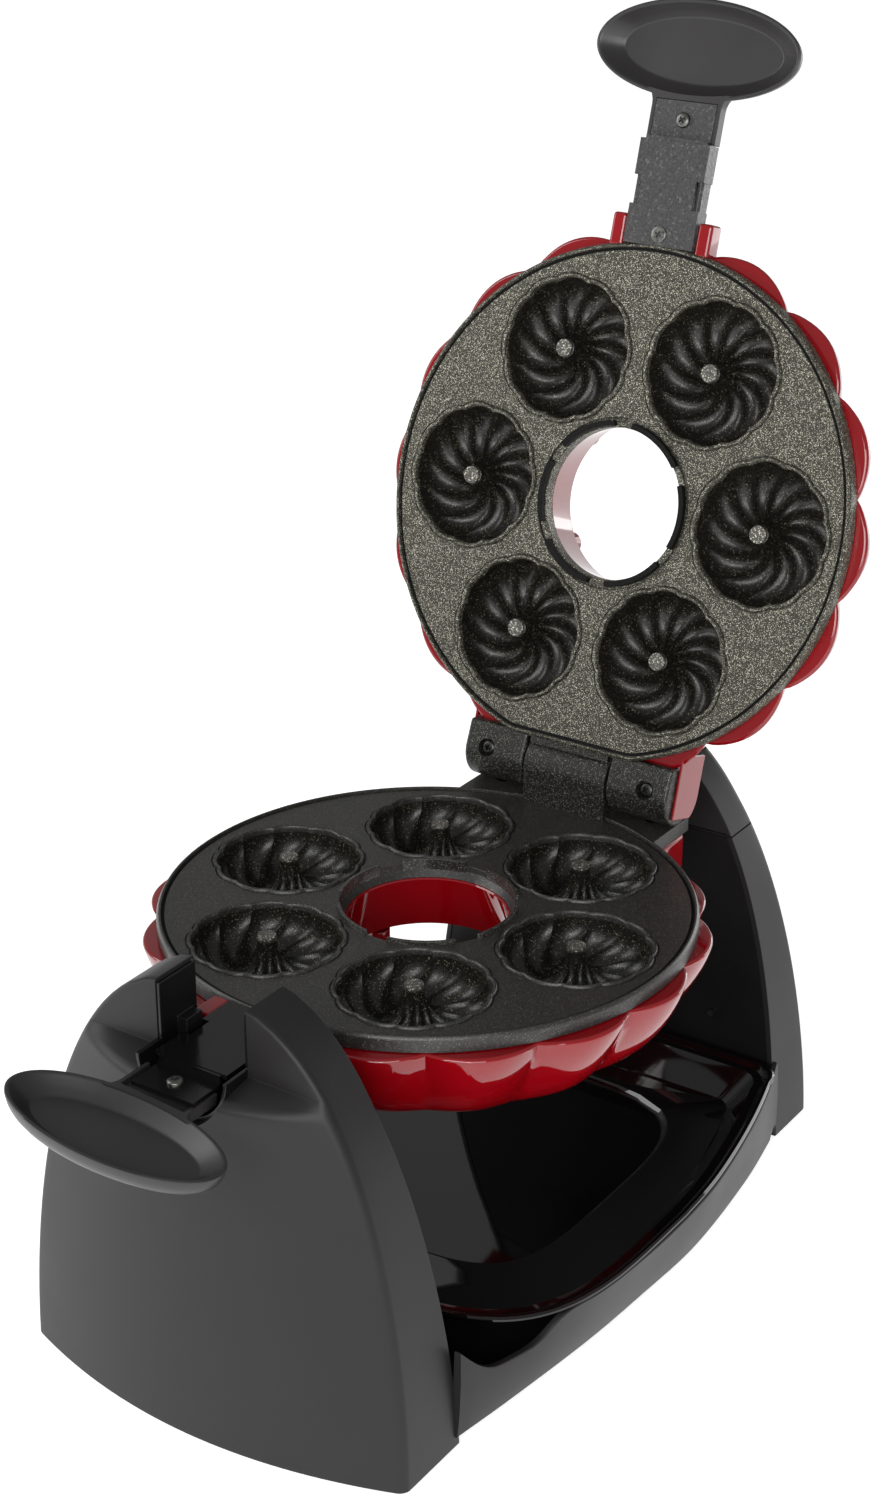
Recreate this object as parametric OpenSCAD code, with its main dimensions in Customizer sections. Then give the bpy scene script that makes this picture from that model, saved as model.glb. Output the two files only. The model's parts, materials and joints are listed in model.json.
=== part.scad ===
// Flip-over donut maker: a stand with a drip tray carries a hinged pair of baking halves
// that can be turned upside down about a front-to-rear axis.
// Frame: origin on the table under the middle of the whole object, +Y to the rear, +Z up.

/* [Stand] */
// Height of the turning axis above the table
axis_h = 167; // [150:1:210]
// Half width of a pedestal at the table
pedestal_half_w = 95; // [80:1:115]
// Rise of a pedestal's arched top above the turning axis
arch_rise = 29; // [29:1:40]
// Front of the front pedestal at its middle
front_face_y = -174.5; // [-176:1:-170]
// How far the pedestal faces bow outwards over their width
face_bow = 20; // [8:1:26]
// Rear of the rear pedestal at its middle
rear_face_y = 198; // [192:1:215]
// Inner side of the front pedestal at its top
front_inner_y = -130; // [-136:1:-128]
// Inner side of the rear pedestal at its top
rear_inner_y = 152; // [151:1:158]
// How far the inner sides lean in towards the tray at the table
inner_lean = 12; // [4:1:14]
// Wall of the moulded stand pieces
stand_wall = 2.6; // [2:0.1:3.5]
// Thickness of the rubber feet below the pedestals
foot_drop = 1.5; // [1:0.1:3]

/* [Tray] */
// Half width of the tray rim
tray_half_w = 122; // [112:1:130]
// Half depth of the tray rim
tray_half_d = 121; // [110:1:122]
// Middle of the tray from the turning halves' centre
tray_mid_y = 17; // [10:1:20]
// Height of the tray rim above the table
tray_rim_h = 45; // [38:1:55]
// Depth of the tray below its rim
tray_depth = 26; // [18:1:30]
// Wall of the tray
tray_wall = 2; // [1.5:0.1:3]

/* [Baking plates] */
// Radius of a baking plate
plate_r = 115.4; // [108:0.1:120]
// Depth of a plate's edge band
plate_band = 7; // [6:0.1:8]
// Half of the gap between the two plates when the lid is shut
half_gap = 0.2; // [0.15:0.05:0.5]
// Radius of the circle that the moulds stand on
mould_ring_r = 74; // [72:0.5:78]
// Number of moulds in a plate
mould_count = 6; // [4:1:6]
// Radius of a mould
mould_r = 31; // [26:0.5:32]
// Depth of a mould
mould_depth = 18; // [12:0.5:20]
// Radius of a mould's middle post
post_r = 3.5; // [2.5:0.1:5]
// Wall of a mould's bowl
mould_wall = 2.5; // [2:0.1:3]
// Radius of the hole through the middle
centre_hole_r = 34; // [32:0.5:36]

/* [Shells] */
// Radius over the shell's lobes
shell_r = 121.8; // [119:0.1:128]
// Number of lobes round the shell
lobe_count = 16; // [12:1:20]
// Radius of one lobe
lobe_r = 34; // [28:1:36]
// Depth of a shell below the parting plane
shell_depth = 52; // [48:1:56]
// Wall of a shell
shell_wall = 1.6; // [1.2:0.1:2.2]
// Radius of the middle tube at the shell's bottom
tube_r = 29.5; // [28:0.5:31]
// Depth of the tube up the middle, below the parting plane
tube_depth = 30; // [26:1:34]

/* [Hinge] */
// Hinge axis behind the plate centre
hinge_y = 122.65; // [121:0.05:126]
// Hinge axis above the parting plane
hinge_z = 14.35; // [13.5:0.05:15]
// Angle from shut to fully open
open_angle = 107.35; // [95:0.05:108]
// Radius of the hinge pin
pin_r = 3; // [2:0.1:4]
// Half width of the middle knuckle
knuckle_half_w = 21.5; // [18:0.5:24]
// Outer side of the hinge ears
ear_x = 52; // [46:1:54]

/* [Neck and grip] */
// Half width of a neck bracket
neck_half_w = 17.3; // [15:0.1:18.5]
// Sheet of a neck bracket
neck_sheet = 2; // [1.5:0.1:2.5]
// Depth of the neck bracket's flanges
neck_flange = 8.5; // [7:0.5:9]
// Front end of the bracket's upper level
neck_step_y = -160; // [-163:1:-157]
// Middle of the grip
grip_y = -200; // [-206:1:-200]
// Half width of the grip
grip_half_w = 50.5; // [42:0.5:60]
// Half depth of the grip
grip_half_d = 22; // [20:0.5:26]
// Depth of the grip's dish
grip_depth = 9.5; // [8:0.5:12]

/* [Pivot] */
// Radius of the rear pivot shaft
shaft_r = 9; // [7:0.5:10]
// Wall of the bush round the shaft
bush_wall = 3; // [2:0.5:4]
// Radial running clearance
run_gap = 0.05; // [0.03:0.01:0.1]

/* [Cord inlet] */
// Radius of the inlet's passage
inlet_r = 3.6; // [3:0.1:4.5]
// Length of the inlet's passage
inlet_len = 20; // [14:1:24]

/* [Hidden] */
$fn = 96;
eps = 0.01;
far = 500;            // longer than anything it cuts
seat = 0.05;          // gap between pieces screwed together
body_gap = 0.35;      // gap between pieces that move past each other

arch_h = axis_h + arch_rise;
arch_x_power = 2.5;
arch_z_power = 1.9;
face_r = (pow(pedestal_half_w, 2) + pow(face_bow, 2)) / (2 * face_bow);
cheek_y = front_face_y + face_bow + 1.5;   // flat cheeks beside the neck
cheek_z = axis_h - 4;
lean_top_z = axis_h - 15;
front_inner_low_y = front_inner_y + inner_lean;
rear_inner_low_y = rear_inner_y - inner_lean / 3;
skirt_z = foot_drop;
base_plate_z = 4.5;
base_plate_t = 2;
foot_r = 7;
foot_x = pedestal_half_w - 17;
front_foot_y = front_inner_y - 12;
rear_foot_y = rear_inner_y + 16;
base_screw_x = foot_x - 20;
inlet_x = -30;
inlet_z = 30;
inlet_y = rear_face_y - face_r + sqrt(pow(face_r, 2) - pow(inlet_x, 2));   // on the bowed face
boss_r = 4.5;
screw_r = 1.5;

cap_dip = 12.5;       // the rear cap is flattened this far below its arch, under the open lid
notch_r = neck_half_w + 4.7;
cradle_wall = 1.7;
cradle_front_y = front_face_y + 8;

rail_mid_y = (front_inner_low_y + rear_inner_low_y) / 2;
rail_low_z = 7;
rail_wall = 3;
rim_flange = 4;
tray_edge_t = 2.5;
rail_top_z = tray_rim_h - tray_edge_t - body_gap;
rail_dip = 12;        // the rails are lower beside the front pedestal
rail_half_w = pedestal_half_w + 14;
rail_half_d = (rear_inner_low_y - front_inner_low_y) / 2 + 11;
tray_floor_z = tray_rim_h - tray_depth;

top_z = -half_gap;                      // a plate's face below the parting plane
under_z = top_z - plate_band;           // a plate's underside
ear_barrel_r = hinge_z - half_gap - 0.1;
ear_in_x = knuckle_half_w + 0.5;
ear_back_y = hinge_y + 11;
swing_r = ear_barrel_r + 6.4;           // what the middle knuckle sweeps
hood_r = ear_barrel_r + 3;
cheek_in_x = ear_x + 3.5;
lug_x = cheek_in_x + 2.5;

boss_ring_r = 52;
boss_angles = [30, 150, 210, 330];
strap_angles = [30, 150, 270];
element_r = 3.3;
element_z = -25;
shield_z = -33;

web_z = top_z - 0.3;
step_drop = 4;
low_web_z = web_z - step_drop;
neck_root_y = -plate_r - 0.6;
root_screw_y = neck_root_y - 3.5;
grip_screw_y = grip_y + grip_half_d + 8.5;
window_front_y = -144;
window_back_y = -132;
window_x = neck_half_w - 3.8;
low_neck_half_w = neck_half_w - 2.3;
neck_block = 5.2;     // depth of the grip's root under the bracket

arm_y = hinge_y + ear_barrel_r + 2;
arm_t = 7.5;
arm_r = 16;
shaft_end_y = rear_inner_y + 26;
bush_r = shaft_r + run_gap + bush_wall;
bush_y = rear_inner_y + stand_wall + 1.5;
bush_len = 14;

// The object's middle: the furthest points to the front and to the rear
front_most = grip_y - grip_half_d;
lean_c = cos(open_angle);
lean_s = sin(open_angle);
grip_rear = hinge_y + (front_most + 5 - hinge_y) * lean_c
    + (-low_web_z + grip_depth - hinge_z) * lean_s;
shell_rear = hinge_y + (-shell_r * 0.74 - hinge_y) * lean_c + (shell_depth * 0.97 - hinge_z) * lean_s;
mid_y = (front_most + max(grip_rear, shell_rear, rear_face_y)) / 2;

function sgn(v) = v < 0 ? -1 : 1;
function super_pt(a, b, p, q, t) =
    [a * sgn(cos(t)) * pow(abs(cos(t)), 2 / p), b * sgn(sin(t)) * pow(abs(sin(t)), 2 / q)];

// Places a piece of the stand, whose own frame has its origin under the plates' centre
module on_table() {
    translate([0, -mid_y, 0]) children();
}

// Places a piece of the lower half, modelled below the parting plane
module low_half() {
    translate([0, -mid_y, axis_h]) children();
}

// Places a piece of the upper half: mirrored through the parting plane, then swung open
module high_half() {
    translate([0, -mid_y, axis_h])
        translate([0, hinge_y, hinge_z])
            rotate([-open_angle, 0, 0])
                translate([0, -hinge_y, -hinge_z])
                    mirror([0, 0, 1]) children();
}

// A rod along X through the hinge axis, seen from the upper half when mirrored is true
module hinge_rod(r, x0, x1, mirrored = false) {
    translate([x0, hinge_y, mirrored ? -hinge_z : hinge_z])
        rotate([0, 90, 0]) cylinder(r = r, h = x1 - x0);
}

module both_sides() {
    children();
    mirror([1, 0, 0]) children();
}

module along_y(y0, y1) {
    translate([0, y1, 0]) rotate([90, 0, 0]) linear_extrude(y1 - y0) children();
}

module rod_y(r, y0, y1, x = 0, z = 0) {
    translate([x, y1, z]) rotate([90, 0, 0]) cylinder(r = r, h = y1 - y0);
}

// ---------- stand ----------

module arch_2d(inset) {
    polygon([for (t = [0:5:180])
        super_pt(pedestal_half_w - inset, arch_h - inset, arch_x_power, arch_z_power, t)]);
}

module super_2d(a, b, power, inset = 0) {
    polygon([for (t = [0:6:354]) super_pt(a - inset, b - inset, power, power, t)]);
}

// The side view of a pedestal between its inner side and far outside
module side_2d(top_y, low_y, out_y, inset) {
    polygon([
        [out_y, -eps], [low_y + inset, -eps], [top_y + inset, lean_top_z],
        [top_y + inset, arch_h + 1], [out_y, arch_h + 1]
    ]);
}

module along_x(half) {
    translate([-half, 0, 0]) rotate([90, 0, 90]) linear_extrude(2 * half) children();
}

module front_bow(inset) {
    translate([0, front_face_y + face_r, -1]) cylinder(r = face_r - inset, h = far, $fn = 180);
}

module rear_bow(inset) {
    translate([0, rear_face_y - face_r, -1]) cylinder(r = face_r - inset, h = far, $fn = 180);
}

module notch_cut(r) {
    rod_y(r, front_face_y - 10, front_inner_y + 20, 0, axis_h);
    translate([-r, front_face_y - 10, axis_h]) cube([2 * r, 70, far]);
}

module front_pedestal() {
    color("#2b2b2d") on_table() difference() {
        intersection() {
            along_y(front_face_y - 1, front_inner_low_y + 5) arch_2d(0);
            front_bow(0);
            along_x(far) side_2d(front_inner_y, front_inner_low_y, front_face_y - 1, 0);
            translate([-far, -far, skirt_z]) cube([2 * far, 2 * far, far]);
        }
        difference() {
            intersection() {
                along_y(front_face_y, front_inner_low_y + 10) arch_2d(stand_wall);
                front_bow(stand_wall);
            }
            translate([-far, cheek_y - far, cheek_z - 2 * stand_wall])
                cube([2 * far, far + stand_wall, far]);
            rod_y(notch_r + stand_wall, front_face_y, front_inner_y + 20, 0, axis_h);
            translate([-notch_r - stand_wall, front_face_y, axis_h])
                cube([2 * (notch_r + stand_wall), 60, far]);
        }
        translate([-far, cheek_y - far, cheek_z]) cube([2 * far, far, far]);
        notch_cut(notch_r);
    }
}

module rear_pedestal() {
    color("#2b2b2d") on_table() difference() {
        intersection() {
            along_y(rear_inner_low_y - 5, rear_face_y + 1) arch_2d(0);
            rear_bow(0);
            along_x(far) side_2d(rear_inner_y, rear_inner_low_y, rear_face_y + 1, 0);
            translate([-far, -far, skirt_z]) cube([2 * far, 2 * far, lean_top_z - skirt_z]);
        }
        intersection() {
            along_y(rear_inner_low_y - 10, rear_face_y) arch_2d(stand_wall);
            rear_bow(stand_wall);
        }
        rod_y(inlet_r + 3.2, inlet_y - 30, inlet_y + 5, inlet_x, inlet_z);
        rod_y(inlet_r + 4.8, inlet_y - 0.6, inlet_y + 5, inlet_x, inlet_z);
    }
}

// The arched upper part of the rear pedestal, flattened where the open lid leans over it
module rear_cap() {
    color("#303032") on_table() difference() {
        intersection() {
            along_y(rear_inner_y, rear_face_y + 1) arch_2d(0);
            rear_bow(0);
            translate([-far, -far, lean_top_z + seat]) cube([2 * far, 2 * far, far]);
        }
        intersection() {
            along_y(rear_inner_y + stand_wall, rear_face_y) arch_2d(stand_wall);
            rear_bow(stand_wall);
            translate([-far, -far, lean_top_z - eps])
                cube([2 * far, 2 * far, arch_h - cap_dip - stand_wall - lean_top_z]);
        }
        translate([-far, -far, axis_h + arch_rise - cap_dip]) cube([2 * far, 2 * far, far]);
        rod_y(bush_r + 0.02, rear_inner_y - 1, rear_inner_y + 20, 0, axis_h);
    }
}

// Panels that close the pedestals towards the tray
module front_liner() {
    color("#252527") on_table() difference() {
        intersection() {
            along_y(front_inner_y - 40, front_inner_low_y + 5) arch_2d(stand_wall + seat);
            along_x(far) difference() {
                side_2d(front_inner_y, front_inner_low_y, front_face_y, -0.4);
                side_2d(front_inner_y, front_inner_low_y, front_face_y - 1, -0.4 - stand_wall);
            }
            translate([-far, -far, skirt_z + 8]) cube([2 * far, 2 * far, axis_h - skirt_z - 14]);
        }
        rod_y(notch_r + stand_wall + seat, front_face_y, 0, 0, axis_h);
        for (x = [-60, 60]) rod_y(screw_r + 0.2, front_inner_y - 40, 0, x, 60);
    }
}

module rear_liner() {
    color("#252527") on_table() difference() {
        intersection() {
            along_y(rear_inner_low_y - 5, rear_inner_y + 10) arch_2d(stand_wall + seat);
            along_x(far) difference() {
                side_2d(rear_inner_y, rear_inner_low_y, rear_face_y, 0.4);
                side_2d(rear_inner_y, rear_inner_low_y, rear_face_y + 1, 0.4 + stand_wall);
            }
            translate([-far, -far, skirt_z + 8]) cube([2 * far, 2 * far, lean_top_z - skirt_z - 9]);
        }
        for (x = [-60, 60]) rod_y(screw_r + 0.2, 0, rear_inner_y + 30, x, 60);
    }
}

module liner_screws() {
    color("#6f7174") on_table() {
        for (x = [-60, 60]) {
            rod_y(screw_r, front_inner_y - 8, front_inner_y + 9, x, 60);
            rod_y(screw_r, rear_inner_y - 4, rear_inner_y + 8, x, 60);
        }
    }
}

// U-shaped guide for the neck, with keeper tabs that stand in the neck's windows
module neck_cradle() {
    color("#202022") on_table() {
        difference() {
            union() {
                rod_y(notch_r - seat, cradle_front_y, front_inner_y - 0.5, 0, axis_h);
                translate([-notch_r + seat, cheek_y + 0.5, axis_h])
                    cube([2 * (notch_r - seat), front_inner_y - 1 - cheek_y, 24]);
            }
            rod_y(notch_r - cradle_wall, -far, 0, 0, axis_h);
            translate([-notch_r + cradle_wall, -far, axis_h])
                cube([2 * (notch_r - cradle_wall), far, far]);
            translate([-far, -far, axis_h]) cube([2 * far, far + cheek_y + 0.5, far]);
        }
        both_sides() translate([-notch_r + cradle_wall - 0.5, window_front_y + 1.2, axis_h - 5])
            cube([notch_r - cradle_wall - window_x - 1.6, window_back_y - window_front_y - 2.4, 10]);
    }
}

module rear_bush() {
    color("#b9a36a") on_table() difference() {
        union() {
            rod_y(bush_r, rear_inner_y - 0.5, bush_y + bush_len, 0, axis_h);
            rod_y(bush_r + 3, rear_inner_y - 2, rear_inner_y - 0.05, 0, axis_h);
        }
        rod_y(shaft_r + run_gap, rear_inner_y - 10, rear_inner_y + 40, 0, axis_h);
    }
}

module bush_nut() {
    color("#8b8d90") on_table() difference() {
        translate([0, rear_inner_y + stand_wall + 5.5, axis_h])
            rotate([90, 0, 0]) cylinder(r = bush_r + 3.3, h = 5, $fn = 6);
        rod_y(bush_r + 0.02, rear_inner_y, rear_inner_y + 20, 0, axis_h);
    }
}

module base_plate_2d() {
    intersection() {
        square([2 * (pedestal_half_w - 2 * stand_wall), 2 * far], center = true);
        children();
    }
}

module front_base_plate() {
    color("#232325") on_table() difference() {
        translate([0, 0, base_plate_z]) intersection() {
            linear_extrude(base_plate_t) base_plate_2d()
                translate([0, front_face_y + face_r]) circle(r = face_r - stand_wall - 0.3, $fn = 180);
            translate([-far, front_face_y, -1])
                cube([2 * far, front_inner_low_y - front_face_y - 4, 10]);
        }
        for (x = [-base_screw_x, base_screw_x])
            translate([x, front_foot_y, 0]) cylinder(r = screw_r + 0.2, h = 20);
    }
}

module rear_base_plate() {
    color("#232325") on_table() difference() {
        translate([0, 0, base_plate_z]) intersection() {
            linear_extrude(base_plate_t) base_plate_2d()
                translate([0, rear_face_y - face_r]) circle(r = face_r - stand_wall - 0.3, $fn = 180);
            translate([-far, rear_inner_low_y + 4, -1]) cube([2 * far, 60, 10]);
        }
        for (x = [-base_screw_x, base_screw_x])
            translate([x, rear_foot_y, 0]) cylinder(r = screw_r + 0.2, h = 20);
    }
}

module rubber_feet() {
    color("#19191a") on_table() for (x = [-foot_x, foot_x]) {
        for (y = [front_foot_y, rear_foot_y])
            translate([x, y, 0]) cylinder(r = foot_r, h = base_plate_z - seat);
    }
}

module base_screws() {
    color("#8b8d90") on_table() for (x = [-base_screw_x, base_screw_x]) {
        for (y = [front_foot_y, rear_foot_y]) translate([x, y, 0]) {
            translate([0, 0, base_plate_z - 1.6]) cylinder(r = 3, h = 1.5);
            translate([0, 0, base_plate_z - 0.2]) cylinder(r = screw_r, h = 12);
        }
    }
}

module cord_gland() {
    color("#1d1d1e") on_table() difference() {
        union() {
            rod_y(inlet_r + 3.1, inlet_y - inlet_len + 3, inlet_y + 3, inlet_x, inlet_z);
            rod_y(inlet_r + 4.6, inlet_y - 0.5, inlet_y + 1.5, inlet_x, inlet_z);
        }
        rod_y(inlet_r, inlet_y - 40, inlet_y + 20, inlet_x, inlet_z);
    }
}

module terminal_block() {
    color("#e8e4d8") on_table() difference() {
        translate([15, rear_inner_y + 6, base_plate_z + base_plate_t + seat]) cube([36, 16, 14]);
        for (i = [0:2]) translate([22 + 11 * i, rear_inner_y + 14, 15]) cylinder(r = 2.6, h = 10);
    }
}

// The low pan with bowed side rails that ties the pedestals together and carries the tray
module rail_block(inset, z0, z1) {
    hull() {
        translate([0, rail_mid_y, z0]) linear_extrude(eps) super_2d(rail_half_w, rail_half_d, 6, inset);
        translate([0, tray_mid_y, z1]) linear_extrude(eps)
            super_2d(tray_half_w - 1, tray_half_d - 1, 4, inset);
    }
}

module base_frame() {
    color("#2b2b2d") on_table() difference() {
        rail_block(0, rail_low_z, rail_top_z);
        rail_block(rail_wall, rail_low_z + rail_wall, rail_top_z + 1);
        translate([-far, front_inner_low_y + 0.5 - far, -1]) cube([2 * far, far, far]);
        translate([-far, rear_inner_low_y - 0.5, -1]) cube([2 * far, far, far]);
        translate([-far, -far, rail_top_z - rail_dip]) cube([2 * far, far + front_inner_low_y + 48, far]);
    }
}

module tray_block(inset, z0, z1) {
    hull() {
        translate([0, tray_mid_y, z0]) linear_extrude(eps)
            super_2d(tray_half_w - 26, tray_half_d - 26, 4, inset);
        translate([0, tray_mid_y, z1]) linear_extrude(eps)
            super_2d(tray_half_w - rail_wall - rim_flange, tray_half_d - rail_wall - rim_flange, 4, inset);
    }
}

module drip_tray() {
    color("#0c0c0e") on_table() difference() {
        union() {
            tray_block(0, tray_floor_z, tray_rim_h - tray_edge_t);
            translate([0, tray_mid_y, tray_rim_h - tray_edge_t])
                linear_extrude(tray_edge_t) super_2d(tray_half_w, tray_half_d, 4);
        }
        tray_block(tray_wall, tray_floor_z + tray_wall, tray_rim_h + eps);
    }
}

// ---------- baking halves, each modelled below the parting plane ----------

function mould_pt(mid, half, depth, t) = [mid + half * cos(t), -depth * sin(t)];
mould_mid_r = (mould_r + post_r) / 2;
mould_half = (mould_r - post_r) / 2;

module mould_cut() {
    rotate_extrude() polygon(concat(
        [[post_r, 1], [mould_r, 1]],
        [for (t = [0:15:180]) mould_pt(mould_mid_r, mould_half, mould_depth, t)]
    ));
}

module mould_bowl() {
    rotate_extrude() polygon(concat(
        [[0, under_z + 1]],
        [[mould_r + mould_wall, under_z + 1]],
        [for (t = [15:15:90]) mould_pt(mould_mid_r, mould_half + mould_wall, mould_depth + mould_wall, t)],
        [[0, -mould_depth - mould_wall]]
    ));
}

module at_moulds() {
    for (i = [0:mould_count - 1])
        rotate([0, 0, i * 360 / mould_count]) translate([mould_ring_r, 0, 0]) children();
}

module plate_body() {
    difference() {
        union() {
            translate([0, 0, under_z]) cylinder(r = plate_r, h = plate_band, $fn = 180);
            at_moulds() mould_bowl();
            translate([-10, root_screw_y - 5, web_z - neck_sheet - seat - 5]) cube([20, 14, 5]);
        }
        at_moulds() translate([0, 0, top_z]) mould_cut();
        at_moulds() translate([0, 0, top_z - 1.2]) cylinder(r = post_r + 0.3, h = 3);
        translate([0, 0, -far]) cylinder(r = centre_hole_r, h = 2 * far);
        translate([0, root_screw_y, -far]) cylinder(r = screw_r + 0.05, h = 2 * far);
    }
}

lug_r = centre_hole_r + 3.5;
lug_rise = 2;

// A segment of the ring round the middle hole
module arc_2d(r0, r1, span) {
    difference() {
        circle(r = r1);
        circle(r = r0);
        for (s = [-1, 1]) rotate([0, 0, s * (span / 2 + 90)]) translate([0, -far / 2])
            square([far, far]);
    }
}

module lower_plate() {
    color("#2f2f30") low_half() difference() {
        union() {
            plate_body();
            translate([-ear_x, plate_r - 16, under_z]) cube([2 * ear_x, ear_back_y - plate_r + 16, plate_band]);
            hinge_rod(ear_barrel_r, -knuckle_half_w, knuckle_half_w);
            translate([-knuckle_half_w, hinge_y - ear_barrel_r, under_z])
                cube([2 * knuckle_half_w, 2 * ear_barrel_r, hinge_z - under_z]);
        }
        hinge_rod(pin_r + 0.02, -far, far);
        translate([0, 0, top_z - lug_rise - 1]) cylinder(r = lug_r + 0.6, h = 5);
        for (x = [-40, 40]) translate([x, hinge_y, 0]) {
            translate([0, 0, top_z - 2.1]) cylinder(r1 = 2, r2 = 4.2, h = 2.2);
            translate([0, 0, -far]) cylinder(r = screw_r + 0.05, h = far);
        }
    }
}

module upper_plate() {
    color("#4a4a44") high_half() difference() {
        union() {
            plate_body();
            for (i = [0:5]) rotate([0, 0, 60 * i]) translate([0, 0, top_z - 1])
                linear_extrude(lug_rise + 1) intersection() {
                    arc_2d(centre_hole_r + 0.3, lug_r, 44);
                    translate([0, -30]) square([60, 60]);
                }
            both_sides() {
                hinge_rod(ear_barrel_r, ear_in_x, ear_x, true);
                translate([ear_in_x, plate_r - 16, -12])
                    cube([ear_x - ear_in_x, hinge_y - plate_r + 16, 12 + top_z]);
            }
        }
        hinge_rod(swing_r, -ear_in_x, ear_in_x, true);
        hinge_rod(pin_r + 2.02, -far, far, true);
        for (x = [-42, 42]) translate([x, hinge_y - 1, top_z - 3.5]) cylinder(r = 4.2, h = 5);
        for (x = [-42, 42]) translate([x, hinge_y - 1, -9]) cylinder(r = screw_r + 0.05, h = 8);
    }
}

// Prism of the shell's lobes
module lobe_prism(inset) {
    ring = shell_r - lobe_r;
    translate([0, 0, -shell_depth - 1]) {
        cylinder(r = ring, h = shell_depth + 1);
        for (i = [0:lobe_count - 1]) rotate([0, 0, i * 360 / lobe_count])
            translate([ring, 0, 0]) cylinder(r = lobe_r - inset, h = shell_depth + 1);
    }
}

shell_top_z = under_z - 0.1;
shell_belly_r = shell_r * 0.64;
// the shield's hole clears the shell's inner face where that rises to the tube
shell_rise = (shell_belly_r - tube_r - 3 * shell_wall - 1) / (shell_depth - tube_depth);
shield_gap = 1.4;
shield_hole_r = tube_r + 2 * shell_wall + 1 + (shell_wall - shield_z - tube_depth) * shell_rise + shield_gap;

// Half section of the shell: outer flank, round bottom and the tube up the middle
module shell_section(inset) {
    polygon(concat(
        [[centre_hole_r + 1.2 + inset, shell_top_z + inset], [shell_r + 1, shell_top_z + inset]],
        [for (t = [0:10:90]) [
            shell_belly_r - inset + (shell_r - shell_belly_r) * cos(t),
            shell_top_z - (shell_depth + shell_top_z - inset) * pow(sin(t), 1.5)
        ]],
        [[tube_r + shell_wall + 1 + inset, -tube_depth + inset]]
    ));
}

module shell_solid(inset) {
    intersection() {
        lobe_prism(inset);
        rotate_extrude($fn = 180) shell_section(inset);
    }
}

module shell_body() {
    difference() {
        union() {
            difference() {
                shell_solid(0);
                shell_solid(shell_wall);
            }
            both_sides() difference() {
                translate([neck_half_w + 0.6, -126, -20]) cube([10, 20, 20 + web_z - 0.4]);
                translate([0, 0, -far]) cylinder(r = plate_r + 0.4, h = 2 * far, $fn = 180);
            }
            for (a = boss_angles) rotate([0, 0, a]) translate([boss_ring_r, 0, -shell_depth])
                cylinder(r = boss_r, h = shell_depth + under_z - seat);
        }
        for (a = boss_angles) rotate([0, 0, a]) translate([boss_ring_r, 0, -shell_depth - 1]) {
            cylinder(r = screw_r + 0.05, h = 60);
            cylinder(r = 3.2, h = 3.6);
        }
        translate([-neck_half_w - 0.5, -far, -13]) cube([2 * neck_half_w + 1, far - 112, 13]);
    }
}

module lower_shell() {
    color("#b3121a") low_half() difference() {
        union() {
            shell_body();
            both_sides() translate([arm_r + 0.8, 104, -26])
                cube([lug_x - arm_r - 0.8, ear_back_y - 104 - 0.5, 26 + under_z - seat]);
        }
        translate([-arm_r - 0.8, 118.5, -30]) cube([2 * arm_r + 1.6, 30, 40]);
        for (x = [-40, 40]) translate([x, hinge_y, -16]) cylinder(r = screw_r + 0.05, h = 16);
    }
}

module upper_shell() {
    color("#b3121a") high_half() difference() {
        union() {
            shell_body();
            both_sides() {
                difference() {
                    hinge_rod(hood_r, ear_in_x + 0.5, lug_x, true);
                    translate([0, ear_back_y - 0.5, -far]) cube([far, far, far]);
                    translate([0, 0, shell_top_z]) cube([far, far, far]);
                }
                translate([ear_in_x + 0.5, 104, -hinge_z - ear_barrel_r])
                    cube([lug_x - ear_in_x - 0.5, 17, hinge_z + ear_barrel_r + shell_top_z]);
            }
        }
        hinge_rod(swing_r, -ear_in_x - 0.5, ear_in_x + 0.5, true);
        both_sides() {
            hinge_rod(ear_barrel_r + 0.4, 0, cheek_in_x, true);
            translate([0, plate_r - 17, -12.4]) cube([cheek_in_x, hinge_y - plate_r + 17, 20]);
        }
    }
}

// ---------- heating ----------

module element() {
    rotate([0, 0, 100]) rotate_extrude(angle = 340)
        translate([mould_ring_r, element_z]) circle(r = element_r, $fn = 32);
}

module element_straps() {
    for (a = strap_angles) rotate([0, 0, a]) translate([mould_ring_r, 0, 0]) difference() {
        translate([-6, -3, element_z - element_r - 2]) cube([12, 6, -element_z + element_r + 2 + under_z - seat]);
        translate([-element_r - 0.3, -5, element_z - element_r - seat])
            cube([2 * element_r + 0.6, 10, 40]);
    }
}

module heat_shield() {
    difference() {
        translate([0, 0, shield_z]) cylinder(r = 100, h = 0.8);
        translate([0, 0, shield_z - 1]) cylinder(r = shield_hole_r, h = 5);
        for (a = boss_angles) rotate([0, 0, a]) translate([boss_ring_r, 0, shield_z - 1])
            cylinder(r = boss_r + 0.5, h = 5);
    }
}

module lower_element() { color("#8f8a84") low_half() element(); }
module upper_element() { color("#8f8a84") high_half() element(); }
module lower_element_straps() { color("#a9abad") low_half() element_straps(); }
module upper_element_straps() { color("#a9abad") high_half() element_straps(); }
module lower_heat_shield() { color("#c4c6c8") low_half() heat_shield(); }
module upper_heat_shield() { color("#c4c6c8") high_half() heat_shield(); }

module thermostat() {
    color("#d8d4c6") low_half() translate([0, 48, under_z - seat - 9]) cylinder(r = 6.5, h = 9);
}

module thermal_fuse() {
    color("#d8d4c6") high_half() translate([-7, 44.5, under_z - seat - 2.5])
        rotate([0, 90, 0]) cylinder(r = 2.4, h = 14);
}

// ---------- neck and grip ----------

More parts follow.
